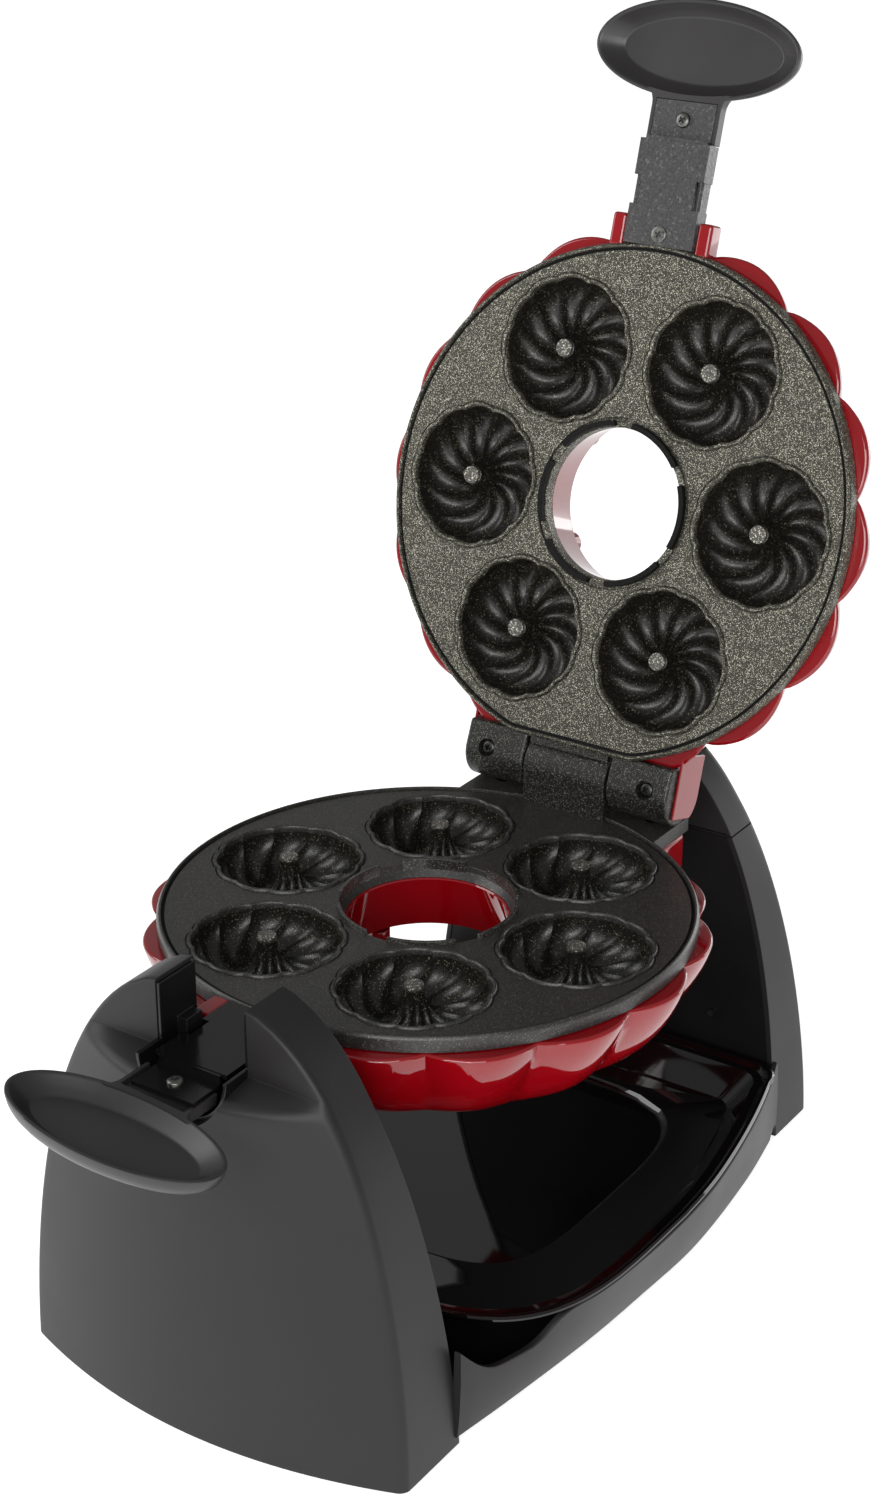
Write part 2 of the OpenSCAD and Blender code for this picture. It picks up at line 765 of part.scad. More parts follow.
module bracket() {
    difference() {
        union() {
            translate([-neck_half_w, neck_step_y, web_z - neck_sheet])
                cube([2 * neck_half_w, neck_root_y - neck_step_y, neck_sheet]);
            both_sides() translate([neck_half_w - neck_sheet, neck_step_y, web_z - neck_flange])
                cube([neck_sheet, neck_root_y - neck_step_y, neck_flange]);
            translate([-low_neck_half_w, neck_step_y, low_web_z - neck_sheet])
                cube([2 * low_neck_half_w, neck_sheet, step_drop + neck_sheet]);
            translate([-low_neck_half_w, grip_y + grip_half_d + 0.3, low_web_z - neck_sheet])
                cube([2 * low_neck_half_w, neck_step_y - grip_y - grip_half_d, neck_sheet]);
        }
        both_sides() translate([window_x, window_front_y, -20])
            cube([20, window_back_y - window_front_y, 20]);
        translate([0, root_screw_y, web_z - 1.9]) cylinder(r1 = 1.8, r2 = 3.8, h = 1.91);
        translate([0, root_screw_y, -20]) cylinder(r = screw_r + 0.2, h = 20);
        translate([0, grip_screw_y, -20]) cylinder(r = screw_r + 0.2, h = 20);
    }
}

module oval(a, b, z) {
    translate([0, grip_y, z]) linear_extrude(eps)
        polygon([for (t = [0:7.5:352.5]) [a * cos(t), b * sin(t)]]);
}

module grip() {
    difference() {
        union() {
            hull() {
                oval(grip_half_w, grip_half_d, low_web_z - eps);
                oval(grip_half_w, grip_half_d, low_web_z - 1.2);
                oval(grip_half_w - 8, grip_half_d - 5.5, low_web_z - grip_depth);
            }
            translate([-neck_half_w, grip_y + grip_half_d - 2, low_web_z - neck_block])
                cube([2 * neck_half_w, neck_step_y - 0.3 - grip_y - grip_half_d + 2, neck_block]);
        }
        hull() {
            oval(grip_half_w - 1.8, grip_half_d - 1.8, low_web_z + eps);
            oval(grip_half_w - 10.5, grip_half_d - 7.6, low_web_z - grip_depth + 2.4);
        }
        translate([-low_neck_half_w - 0.15, grip_y + grip_half_d + 0.1, low_web_z - neck_sheet - seat])
            cube([2 * low_neck_half_w + 0.3, 40, 10]);
        translate([0, grip_screw_y, -30]) cylinder(r = screw_r + 0.05, h = 30);
    }
}

// The countersunk screw at the neck's root and the pan-head screw that holds the grip
module handle_screws() {
    translate([0, root_screw_y, web_z - 1.9]) cylinder(r1 = 1.75, r2 = 3.7, h = 1.85);
    translate([0, root_screw_y, web_z - neck_sheet - 4.5]) cylinder(r = screw_r, h = 5);
    translate([0, grip_screw_y, low_web_z + 0.02]) cylinder(r = 3.4, h = 1.8);
    translate([0, grip_screw_y, low_web_z - 6.5]) cylinder(r = screw_r, h = 6.6);
}

module lower_bracket() { color("#1c1c1e") low_half() bracket(); }
module upper_bracket() { color("#2a2a2b") high_half() bracket(); }
module lower_grip() { color("#2d2d2f") low_half() grip(); }
module upper_grip() { color("#2d2d2f") high_half() grip(); }
module lower_handle_screws() { color("#9a9c9e") low_half() handle_screws(); }
module upper_handle_screws() { color("#9a9c9e") high_half() handle_screws(); }

module shell_screws() {
    for (a = boss_angles) rotate([0, 0, a]) translate([boss_ring_r, 0, -shell_depth + 0.9]) {
        cylinder(r = 3.1, h = 1.7);
        cylinder(r = screw_r, h = 30);
    }
}

module lower_shell_screws() { color("#9a9c9e") low_half() shell_screws(); }
module upper_shell_screws() { color("#9a9c9e") high_half() shell_screws(); }

module lower_ear_screws() {
    color("#9a9c9e") low_half() for (x = [-40, 40]) translate([x, hinge_y, 0]) {
        translate([0, 0, top_z - 2]) cylinder(r1 = 1.9, r2 = 4, h = 1.9);
        translate([0, 0, under_z - 4]) cylinder(r = screw_r, h = 6);
    }
}

module upper_ear_screws() {
    color("#9a9c9e") high_half() for (x = [-42, 42]) translate([x, hinge_y - 1, 0]) {
        translate([0, 0, top_z - 3.4]) cylinder(r = 3.9, h = 1.7);
        translate([0, 0, -8.8]) cylinder(r = screw_r, h = 6);
    }
}

// ---------- hinge and pivot ----------

module hinge_pin() {
    color("#b8babd") low_half() hinge_rod(pin_r, -ear_x - 2.6, ear_x + 2.6);
}

module hinge_pin_clips() {
    color("#8b8d90") low_half() both_sides() difference() {
        hinge_rod(pin_r + 2, ear_x + 0.9, ear_x + 1.9);
        hinge_rod(pin_r + 0.02, 0, far);
    }
}

module hinge_bushes() {
    color("#b9a36a") high_half() both_sides() difference() {
        hinge_rod(pin_r + 2, ear_in_x, ear_x + 0.3, true);
        hinge_rod(pin_r + 0.06, 0, far, true);
    }
}

// Arm under the rear ear that carries the pivot shaft on the turning axis
module pivot_arm() {
    color("#5b5d60") low_half() difference() {
        union() {
            translate([-arm_r, 119.5, under_z - seat - 8]) cube([2 * arm_r, arm_y + arm_t - 119.5, 8]);
            translate([-arm_r, arm_y, under_z - seat - 8]) cube([2 * arm_r, arm_t, 8 - under_z + seat]);
            rod_y(arm_r, arm_y, arm_y + arm_t);
            rod_y(shaft_r, arm_y, shaft_end_y);
        }
        rod_y(shaft_r - 3.5, arm_y + arm_t + 2, far);
        difference() {
            rod_y(shaft_r + 1, shaft_end_y - 4.2, shaft_end_y - 3);
            rod_y(shaft_r - 1, shaft_end_y - 10, shaft_end_y);
        }
    }
}

module pivot_ring() {
    color("#8b8d90") low_half() difference() {
        rod_y(shaft_r + 2.5, shaft_end_y - 4.15, shaft_end_y - 3.05);
        rod_y(shaft_r - 0.98, shaft_end_y - 10, shaft_end_y);
    }
}

base_frame();
front_pedestal();
rear_pedestal();
rear_cap();
front_liner();
rear_liner();
neck_cradle();
rear_bush();
bush_nut();
front_base_plate();
rear_base_plate();
rubber_feet();
base_screws();
liner_screws();
cord_gland();
terminal_block();
drip_tray();
lower_shell();
lower_plate();
lower_element();
lower_element_straps();
lower_heat_shield();
lower_bracket();
lower_grip();
lower_handle_screws();
lower_ear_screws();
lower_shell_screws();
thermostat();
pivot_arm();
pivot_ring();
hinge_pin();
hinge_pin_clips();
upper_shell();
upper_plate();
upper_element();
upper_element_straps();
upper_heat_shield();
upper_bracket();
upper_grip();
upper_handle_screws();
upper_ear_screws();
upper_shell_screws();
thermal_fuse();
hinge_bushes();
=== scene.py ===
import math
import bmesh
import bpy
from mathutils import Matrix, Vector
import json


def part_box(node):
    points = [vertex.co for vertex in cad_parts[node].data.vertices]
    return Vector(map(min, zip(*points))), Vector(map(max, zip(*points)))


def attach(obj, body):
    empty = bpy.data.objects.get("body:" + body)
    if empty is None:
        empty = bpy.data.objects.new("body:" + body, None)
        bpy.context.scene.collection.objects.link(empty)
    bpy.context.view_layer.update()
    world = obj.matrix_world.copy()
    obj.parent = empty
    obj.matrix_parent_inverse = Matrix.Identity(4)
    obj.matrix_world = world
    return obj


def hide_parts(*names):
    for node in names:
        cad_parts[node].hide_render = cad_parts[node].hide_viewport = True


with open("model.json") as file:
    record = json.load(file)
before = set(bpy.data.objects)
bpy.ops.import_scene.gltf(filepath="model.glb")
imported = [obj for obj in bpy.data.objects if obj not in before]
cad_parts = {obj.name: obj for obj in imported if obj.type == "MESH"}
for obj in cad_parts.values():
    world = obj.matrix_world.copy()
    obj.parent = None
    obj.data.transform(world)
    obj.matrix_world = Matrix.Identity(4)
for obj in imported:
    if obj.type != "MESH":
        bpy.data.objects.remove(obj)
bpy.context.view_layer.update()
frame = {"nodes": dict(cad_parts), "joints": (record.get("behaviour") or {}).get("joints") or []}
joints = {j["name"]: j for j in frame["joints"]}
turning = Vector(joints["flip"]["pos_m"])      # on the turning axis, at the plates' centre
hinge = Vector(joints["lid_hinge"]["pos_m"])
openAngle = math.radians(joints["lid_hinge"]["range_deg"][1])
millimetre = Matrix.Scale(0.001, 4)
# pieces are drawn in millimetres round the plates' centre, and these put them where they belong
onTable = Matrix.Translation((0, turning.y, 0)) @ millimetre
inLower = Matrix.Translation(turning) @ millimetre
inUpper = (Matrix.Translation(hinge) @ Matrix.Rotation(-openAngle, 4, "X")
           @ Matrix.Translation(turning - hinge) @ Matrix.Scale(-1, 4, (0, 0, 1)) @ millimetre)
halves = {"lower": (inLower, "lower_half"), "upper": (inUpper, "upper_half")}
hingeY = (hinge.y - turning.y) * 1000
hingeZ = (hinge.z - turning.z) * 1000
axisHigh = turning.z * 1000
print("frame loaded, open angle", joints["lid_hinge"]["range_deg"][1])


# ---- how pieces are made ----
def pickOnly(*pieces):
    if bpy.context.object and bpy.context.object.mode == "EDIT":
        bpy.ops.object.mode_set(mode="OBJECT")
    bpy.ops.object.select_all(action="DESELECT")
    for piece in pieces:
        piece.select_set(True)
    bpy.context.view_layer.objects.active = pieces[0]


def bakePlace(piece):
    # the place goes into the points themselves
    pickOnly(piece)
    bpy.ops.object.transform_apply(location=True, rotation=True, scale=True)


def openEdit(piece):
    pickOnly(piece)
    bpy.ops.object.mode_set(mode="EDIT")
    return bmesh.from_edit_mesh(piece.data)


def closeEdit():
    bpy.ops.object.mode_set(mode="OBJECT")


def named(name):
    piece = bpy.context.object
    piece.name = name
    piece.data.name = name
    return piece


def loft(name, rings, capStart=False, capEnd=False, joinEnds=False):
    # a ring of points is extruded from outline to outline
    bpy.ops.object.select_all(action="DESELECT")
    bpy.ops.mesh.primitive_circle_add(vertices=len(rings[0]), radius=1, fill_type="NOTHING")
    piece = named(name)
    mesh = openEdit(piece)
    order = mesh.verts.layers.int.new("order")
    for number, point in enumerate(mesh.verts):
        point[order] = number
        point.co = rings[0][number]
        point.select = True
    mesh.select_flush(True)
    bmesh.update_edit_mesh(piece.data)
    if capStart:
        bpy.ops.mesh.edge_face_add()
    for ring in rings[1:]:
        bpy.ops.mesh.extrude_edges_move(TRANSFORM_OT_translate={"value": (0, 0, 0)})
        mesh = bmesh.from_edit_mesh(piece.data)
        order = mesh.verts.layers.int["order"]
        for point in mesh.verts:
            if point.select:
                point.co = ring[point[order]]
        bmesh.update_edit_mesh(piece.data)
    if capEnd:
        bpy.ops.mesh.edge_face_add()
    bpy.ops.mesh.select_all(action="SELECT")
    if joinEnds:
        bpy.ops.mesh.remove_doubles(threshold=0.0005)
    bpy.ops.mesh.normals_make_consistent(inside=False)
    closeEdit()
    return piece


def applyAll(piece):
    pickOnly(piece)
    for change in list(piece.modifiers):
        bpy.ops.object.modifier_apply(modifier=change.name)


def combine(piece, tool, how):
    change = piece.modifiers.new(how, "BOOLEAN")
    change.operation = how
    change.solver = "EXACT"
    change.object = tool
    applyAll(piece)
    bpy.data.objects.remove(tool)


def soften(piece, width, steps=2, angle=40):
    change = piece.modifiers.new("soft edges", "BEVEL")
    change.width = width
    change.segments = steps
    change.limit_method = "ANGLE"
    change.angle_limit = math.radians(angle)
    change.use_clamp_overlap = True
    applyAll(piece)


def mergeClose(piece, reach):
    openEdit(piece)
    bpy.ops.mesh.select_all(action="SELECT")
    bpy.ops.mesh.remove_doubles(threshold=reach)
    bpy.ops.mesh.dissolve_degenerate(threshold=reach)
    closeEdit()


def copyAt(piece, name, place):
    # the copy stands at this place, which takes over from the piece's own
    twin = piece.copy()
    twin.data = piece.data.copy()
    twin.name = name
    twin.data.name = name
    bpy.context.scene.collection.objects.link(twin)
    twin.matrix_world = place
    return twin


def joined(name, pieces):
    pickOnly(*pieces)
    if len(pieces) > 1:
        bpy.ops.object.join()
    return named(name)


def settle(piece, place, finish, body, nodes=(), angle=35):
    # the piece goes to its place for good, with its finish, its body and the nodes it stands for
    pickOnly(piece)
    piece.matrix_world = place @ piece.matrix_world
    bpy.ops.object.transform_apply(location=True, rotation=True, scale=True)
    openEdit(piece)
    bpy.ops.mesh.select_all(action="SELECT")
    bpy.ops.mesh.normals_make_consistent(inside=False)
    closeEdit()
    bpy.ops.object.shade_smooth_by_angle(angle=math.radians(angle))
    change = piece.modifiers.new("even normals", "WEIGHTED_NORMAL")
    change.keep_sharp = True
    bpy.ops.object.modifier_apply(modifier=change.name)
    if "order" in piece.data.attributes:
        piece.data.attributes.remove(piece.data.attributes["order"])
    piece.data.materials.clear()
    piece.data.materials.append(finish)
    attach(piece, body)
    if nodes:
        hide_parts(*nodes)
    return piece


def fromNode(name, *nodeNames):
    # a merged copy of CAD nodes, ready for soft edges; it is already in metres and in place
    pieces = []
    for nodeName in nodeNames:
        twin = frame["nodes"][nodeName].copy()
        twin.data = twin.data.copy()
        twin.parent = None
        for key in list(twin.keys()):
            del twin[key]
        bpy.context.scene.collection.objects.link(twin)
        pieces.append(twin)
    piece = joined(name, pieces)
    openEdit(piece)
    bpy.ops.mesh.select_all(action="SELECT")
    bpy.ops.mesh.remove_doubles(threshold=0.000002)
    bpy.ops.mesh.dissolve_limited(angle_limit=math.radians(0.6))
    bpy.ops.mesh.normals_make_consistent(inside=False)
    closeEdit()
    return piece


def superPoint(halfX, halfY, powerX, powerY, angle):
    c, s = math.cos(angle), math.sin(angle)
    return (math.copysign(halfX * abs(c) ** (2 / powerX), c),
            math.copysign(halfY * abs(s) ** (2 / powerY), s))


def smoothStep(low, high, value):
    t = min(1, max(0, (value - low) / (high - low)))
    return t * t * (3 - 2 * t)


# ---- finishes ----
def startFinish(name, settings):
    finish = bpy.data.materials.new(name)
    finish.use_nodes = True
    tree = finish.node_tree
    shader = tree.nodes["Principled BSDF"]
    for socket, value in settings.items():
        shader.inputs[socket].default_value = value
    spot = tree.nodes.new("ShaderNodeTexCoord")
    return finish, tree, shader, spot.outputs["Object"]


def addNoise(tree, spot, scale, detail=3, roughness=0.55):
    noise = tree.nodes.new("ShaderNodeTexNoise")
    noise.inputs["Scale"].default_value = scale
    noise.inputs["Detail"].default_value = detail
    noise.inputs["Roughness"].default_value = roughness
    tree.links.new(spot, noise.inputs["Vector"])
    return noise.outputs["Fac"]


def addCells(tree, spot, scale):
    cells = tree.nodes.new("ShaderNodeTexVoronoi")
    cells.inputs["Scale"].default_value = scale
    tree.links.new(spot, cells.inputs["Vector"])
    return cells.outputs["Color"]


def addRamp(tree, value, stops):
    ramp = tree.nodes.new("ShaderNodeValToRGB")
    while len(ramp.color_ramp.elements) < len(stops):
        ramp.color_ramp.elements.new(0.5)
    for element, (place, colour) in zip(ramp.color_ramp.elements, stops):
        element.position = place
        element.color = (*colour, 1)
    tree.links.new(value, ramp.inputs["Fac"])
    return ramp.outputs["Color"]


def addRange(tree, value, fromLow, fromHigh, toLow, toHigh):
    span = tree.nodes.new("ShaderNodeMapRange")
    limits = {"From Min": fromLow, "From Max": fromHigh, "To Min": toLow, "To Max": toHigh}
    for socket, number in limits.items():
        span.inputs[socket].default_value = number
    tree.links.new(value, span.inputs["Value"])
    return span.outputs["Result"]


def addBump(tree, shader, height, strength, distance):
    bump = tree.nodes.new("ShaderNodeBump")
    bump.inputs["Strength"].default_value = strength
    bump.inputs["Distance"].default_value = distance
    tree.links.new(height, bump.inputs["Height"])
    previous = shader.inputs["Normal"].links
    if previous:
        tree.links.new(previous[0].from_socket, bump.inputs["Normal"])
    tree.links.new(bump.outputs["Normal"], shader.inputs["Normal"])


def mouldedPlastic(name, dark, light, rough, grain, grainDepth, settings=None, cloudScale=18):
    finish, tree, shader, spot = startFinish(name, settings or {})
    clouds = addNoise(tree, spot, cloudScale, 4)
    tree.links.new(addRamp(tree, clouds, [(0.35, dark), (0.65, light)]), shader.inputs["Base Color"])
    tree.links.new(addRange(tree, clouds, 0.3, 0.7, rough[0], rough[1]), shader.inputs["Roughness"])
    addBump(tree, shader, addNoise(tree, spot, grain, 2), 0.5, grainDepth)
    return finish


standSatin = mouldedPlastic("standSatin", (0.0120, 0.0108, 0.0112), (0.0148, 0.0134, 0.0138), (0.42, 0.49),
                            1500, 0.00006, {"Specular IOR Level": 0.34})
linerSatin = mouldedPlastic("linerSatin", (0.0045, 0.0042, 0.0044), (0.0065, 0.006, 0.006), (0.40, 0.5),
                            1200, 0.00005, {"Specular IOR Level": 0.25})
gripSatin = mouldedPlastic("gripSatin", (0.0185, 0.0168, 0.0174), (0.0225, 0.0205, 0.0211), (0.33, 0.41),
                           1700, 0.00005, {"Specular IOR Level": 0.52})
cradleBlack = mouldedPlastic("cradleBlack", (0.004, 0.004, 0.004), (0.006, 0.006, 0.006), (0.2, 0.3), 900,
                             0.00004, {"Specular IOR Level": 0.4})
glossBlack = mouldedPlastic("glossBlack", (0.003, 0.003, 0.003), (0.0045, 0.0045, 0.0045), (0.12, 0.2), 700,
                            0.00008, {"Specular IOR Level": 0.4})
footRubber = mouldedPlastic("footRubber", (0.010, 0.010, 0.010), (0.016, 0.016, 0.015), (0.7, 0.85), 1100,
                            0.00012)
trayGloss = mouldedPlastic("trayGloss", (0.0022, 0.0018, 0.0020), (0.0030, 0.0026, 0.0028), (0.03, 0.05),
                           60, 0.00002, {"Specular IOR Level": 0.65}, 9)
shellRed = mouldedPlastic("shellRed", (0.21, 0.0009, 0.0035), (0.27, 0.0016, 0.0055), (0.035, 0.055), 130,
                          0.00002,
                          {"Specular IOR Level": 0.55, "Coat Weight": 0.35, "Coat Roughness": 0.04}, 7)
creamCeramic = mouldedPlastic("creamCeramic", (0.62, 0.58, 0.48), (0.72, 0.68, 0.58), (0.5, 0.6), 700,
                              0.00004)


def castCoating(name, base, flake, rough, flakeScale, flakeBump, metal, settings=None, flakeShare=0.72):
    # non-stick coating with bright flakes on a darker ground
    finish, tree, shader, spot = startFinish(name, {"Metallic": metal, **(settings or {})})
    cells = addCells(tree, spot, flakeScale)
    split = tree.nodes.new("ShaderNodeSeparateColor")
    tree.links.new(cells, split.inputs["Color"])
    ground = addRamp(tree, addNoise(tree, spot, flakeScale * 0.8, 3, 0.6), [(0.35, base[0]), (0.65, base[1])])
    share = addRange(tree, split.outputs["Red"], flakeShare, 1.0, 0.0, 1.0)
    mix = tree.nodes.new("ShaderNodeMix")
    mix.data_type = "RGBA"
    tree.links.new(share, mix.inputs["Factor"])
    tree.links.new(ground, mix.inputs["A"])
    mix.inputs["B"].default_value = (*flake, 1)
    tree.links.new(mix.outputs["Result"], shader.inputs["Base Color"])
    tree.links.new(addRange(tree, split.outputs["Green"], 0, 1, rough[0], rough[1]),
                   shader.inputs["Roughness"])
    addBump(tree, shader, split.outputs["Blue"], 0.35, flakeBump)
    addBump(tree, shader, addNoise(tree, spot, flakeScale * 0.5, 3), 0.35, flakeBump)
    return finish


upperCoat = castCoating("upperCoat", ((0.036, 0.0345, 0.026), (0.052, 0.050, 0.038)), (0.85, 0.82, 0.67),
                        (0.32, 0.58), 3900, 0.00010, 0.5, None, 0.82)
lowerCoat = castCoating("lowerCoat", ((0.019, 0.0180, 0.0168), (0.026, 0.0247, 0.0230)), (0.12, 0.115, 0.10),
                        (0.30, 0.44), 2600, 0.00006, 0.15, {"Specular IOR Level": 0.6}, 0.85)
mouldCoat = castCoating("mouldCoat", ((0.0060, 0.0055, 0.0042), (0.0100, 0.0092, 0.0066)), (0.20, 0.18, 0.12),
                        (0.24, 0.38), 2400, 0.00006, 0.12, {"Specular IOR Level": 0.5}, 0.93)
# painted shade: the plates' coating made darker for the ears and the knuckle, for the shade that falls on
# them
earPaintedShadeCoat = castCoating("earPaintedShadeCoat", ((0.008, 0.0077, 0.0068), (0.013, 0.0125, 0.0108)), (0.26, 0.25, 0.20),
                      (0.26, 0.46), 3300, 0.00008, 0.2, None, 0.88)
edgeCoat = castCoating("edgeCoat", ((0.022, 0.021, 0.019), (0.032, 0.031, 0.028)), (0.20, 0.19, 0.17),
                       (0.18, 0.32), 2600, 0.00004, 0.2, {"Specular IOR Level": 0.8}, 0.85)
# painted shade: a near-black finish for the groove strips and the upper lugs, standing in for the shade in
# the groove and beside the lugs
paintedShadeBlack = castCoating("paintedShadeBlack", ((0.0018, 0.0017, 0.0016), (0.0028, 0.0026, 0.0024)),
                          (0.01, 0.01, 0.009), (0.6, 0.8), 2600, 0.00004, 0.0, {"Specular IOR Level": 0.2},
                          0.9)
postGrey = castCoating("postGrey", ((0.07, 0.068, 0.06), (0.10, 0.097, 0.085)), (0.75, 0.73, 0.62),
                       (0.3, 0.45), 2200, 0.00008, 0.4, None, 0.78)
powderBlack = castCoating("powderBlack", ((0.034, 0.033, 0.033), (0.050, 0.0485, 0.0485)),
                          (0.11, 0.107, 0.104), (0.26, 0.42), 1200, 0.00060, 0.1,
                          {"Specular IOR Level": 0.6}, 0.86)


def wornMetal(name, dark, light, rough, brushed, settings=None):
    finish, tree, shader, spot = startFinish(name, {"Metallic": 1.0, **(settings or {})})
    stretch = tree.nodes.new("ShaderNodeMapping")
    stretch.inputs["Scale"].default_value = brushed
    tree.links.new(spot, stretch.inputs["Vector"])
    streaks = addNoise(tree, stretch.outputs["Vector"], 400, 4)
    tree.links.new(addRamp(tree, streaks, [(0.3, dark), (0.7, light)]), shader.inputs["Base Color"])
    tree.links.new(addRange(tree, streaks, 0.3, 0.7, rough[0], rough[1]), shader.inputs["Roughness"])
    addBump(tree, shader, streaks, 0.3, 0.00003)
    return finish


zincSteel = wornMetal("zincSteel", (0.32, 0.32, 0.31), (0.55, 0.55, 0.53), (0.25, 0.42), (1, 1, 1))
darkScrew = wornMetal("darkScrew", (0.10, 0.10, 0.095), (0.22, 0.22, 0.21), (0.25, 0.45), (1, 1, 1))
blackScrew = wornMetal("blackScrew", (0.03, 0.03, 0.028), (0.07, 0.07, 0.065), (0.25, 0.4), (1, 1, 1))
elementSteel = wornMetal("elementSteel", (0.20, 0.18, 0.16), (0.38, 0.35, 0.32), (0.35, 0.55), (1, 4, 1))
brightSheet = wornMetal("brightSheet", (0.60, 0.61, 0.62), (0.78, 0.79, 0.80), (0.22, 0.36), (1, 12, 1))
bushBrass = wornMetal("bushBrass", (0.50, 0.38, 0.17), (0.66, 0.52, 0.26), (0.25, 0.4), (6, 1, 6))
print("finishes ready")

# ---- the plates ----
plate = {"radius": 115.2, "faceZ": -1.2, "beadZ": -0.15, "underZ": -7.2, "faceEdge": 112.2,
         "chordY": 107.9, "earHalf": 52.0, "barrel": 14.05}
mould = {"count": 6, "ring": 74.0, "radius": 30.0, "lobes": 12, "perLobe": 12, "depth": 17.2, "post": 4.3,
         "twist": 40.0, "rimWave": 1.35, "fluteDepth": 3.1}


def wave(phase):
    return math.sin(math.pi * phase) ** 0.65


def mouldRing(radius, z, rimShare, dip, twistSign, grow=0.0):
    # one ring of the mould: its lobes swell outwards and turn with the radius
    points = []
    total = mould["lobes"] * mould["perLobe"]
    share = max(0, (radius - mould["post"]) / (mould["radius"] - mould["post"]))
    turn = math.radians(mould["twist"]) * share ** 1.25 * twistSign
    for number in range(total):
        phase = (number % mould["perLobe"]) / mould["perLobe"]
        angle = 2 * math.pi * number / total - turn
        reach = radius + grow + rimShare * wave(phase)
        points.append((reach * math.cos(angle), reach * math.sin(angle), z - dip * wave(phase)))
    return points


def makeMould(name, twistSign):
    middle = (mould["radius"] + mould["post"]) / 2
    half = (mould["radius"] - mould["post"]) / 2
    faceZ = plate["faceZ"]
    rings = [mouldRing(mould["radius"], -7.0, mould["rimWave"], 0, twistSign, 1.0),
             mouldRing(mould["radius"], faceZ + 0.2, mould["rimWave"], 0, twistSign, 0.7),
             mouldRing(mould["radius"], faceZ + 0.2, mould["rimWave"], 0, twistSign, 0.2)]
    steps = 24
    for step in range(1, steps + 1):
        t = math.pi * step / steps
        radius = middle + half * math.cos(t)
        z = faceZ - (mould["depth"] - mould["fluteDepth"]) * math.sin(t) ** 0.8
        flute = mould["fluteDepth"] * math.sin(t) ** 0.8 if step < steps else 0
        side = max(0, math.cos(t)) * (mould["rimWave"] + 0.9 * math.sin(t))
        inner = min(0, math.cos(t)) * 0.8 * math.sin(t)
        rings.append(mouldRing(radius, z, side + inner, flute, twistSign))
    rings.append([(p[0] * 0.9, p[1] * 0.9, faceZ + 0.25) for p in rings[-1]])
    cup = loft(name, rings, capEnd=True)
    openEdit(cup)                    # close the cup below, out of sight
    bpy.ops.mesh.select_all(action="DESELECT")
    bpy.ops.mesh.select_mode(type="EDGE")
    mesh = bmesh.from_edit_mesh(cup.data)
    for edge in mesh.edges:
        edge.select = edge.is_boundary
    bmesh.update_edit_mesh(cup.data)
    for scale, drop in ((1.0, -9), (0.88, -5), (0.6, -2.0)):
        bpy.ops.mesh.extrude_edges_move(TRANSFORM_OT_translate={"value": (0, 0, drop)})
        bpy.ops.transform.resize(value=(scale, scale, 1), center_override=(0, 0, 0))
    bpy.ops.mesh.edge_face_add()
    bpy.ops.mesh.select_mode(type="VERT")
    closeEdit()
    return cup


def makeLip(name, twistSign):
    # the raised lip round a mould
    faceZ, lipZ = plate["faceZ"], plate["beadZ"]
    shape = [(3.2, faceZ - 0.8), (2.4, faceZ - 0.8), (2.15, faceZ), (1.95, lipZ - 0.4), (1.6, lipZ - 0.06),
             (1.25, lipZ), (0.85, lipZ - 0.08), (0.4, lipZ - 0.45), (0.05, faceZ - 0.2), (0.05, faceZ - 2.0),
             (1.4, faceZ - 2.2), (3.2, faceZ - 2.2)]
    rings = [mouldRing(mould["radius"], z, mould["rimWave"], 0, twistSign, grow) for grow, z in shape]
    return loft(name, rings + [rings[0]], joinEnds=True)


def outlinePrism(name, outline, z0, z1):
    return loft(name, [[(x, y, z0) for x, y in outline], [(x, y, z1) for x, y in outline]], True, True)


def circleRing(radius, z, count=192, chord=None):
    ring = []
    for number in range(count):
        a = 2 * math.pi * number / count
        x, y = radius * math.cos(a), radius * math.sin(a)
        if chord is not None and y > chord:
            y = chord
        ring.append((x, y, z))
    return ring


def makePlateBody(name, chord, holeWall):
    # the disc, turned from its section: hole wall, face, groove, bead, rounded edge and band
    r, e, face, bead = plate["radius"], plate["faceEdge"], plate["faceZ"], plate["beadZ"]
    c = chord
    section = [(rr, z, None) for rr, z in holeWall] + [
        (60, face, None), (e - 0.5, face, c and c - 0.5), (e - 0.4, face - 1.5, c and c - 0.4),
        (e + 0.9, face - 1.5, c and c + 0.9), (e + 1.1, bead - 0.25, c and c + 1.1),
        (e + 1.35, bead, c and c + 1.35), (e + 1.9, bead, c and c + 1.9),
        (e + 2.3, bead - 0.3, c and c + 2.3), (r - 0.3, bead - 1.1, c and c + 3.2),
        (r, bead - 1.7, c and c + 3.4), (r, plate["underZ"] + 0.4, c and c + 3.4),
        (r - 0.5, plate["underZ"], c and c + 3.0), (60, plate["underZ"], None)]
    rings = [circleRing(rr, z, chord=ch) for rr, z, ch in section]
    body = loft(name, rings + [rings[0]], joinEnds=True)
    # a near-black strip laid in the groove floor, as painted shade
    strip = [(e - 0.45, face - 0.8), (e + 1.0, face - 0.8), (e + 1.0, face - 1.9), (e - 0.45, face - 1.9)]
    floorRings = [circleRing(rr, z, chord=c and c + rr - e) for rr, z in strip]
    return body, loft(name + "Groove", floorRings + [floorRings[0]], joinEnds=True)


def atMoulds(make):
    for number in range(mould["count"]):
        turn = Matrix.Rotation(2 * math.pi * number / mould["count"], 4, "Z")
        make(number, turn @ Matrix.Translation((mould["ring"], 0, 0)))


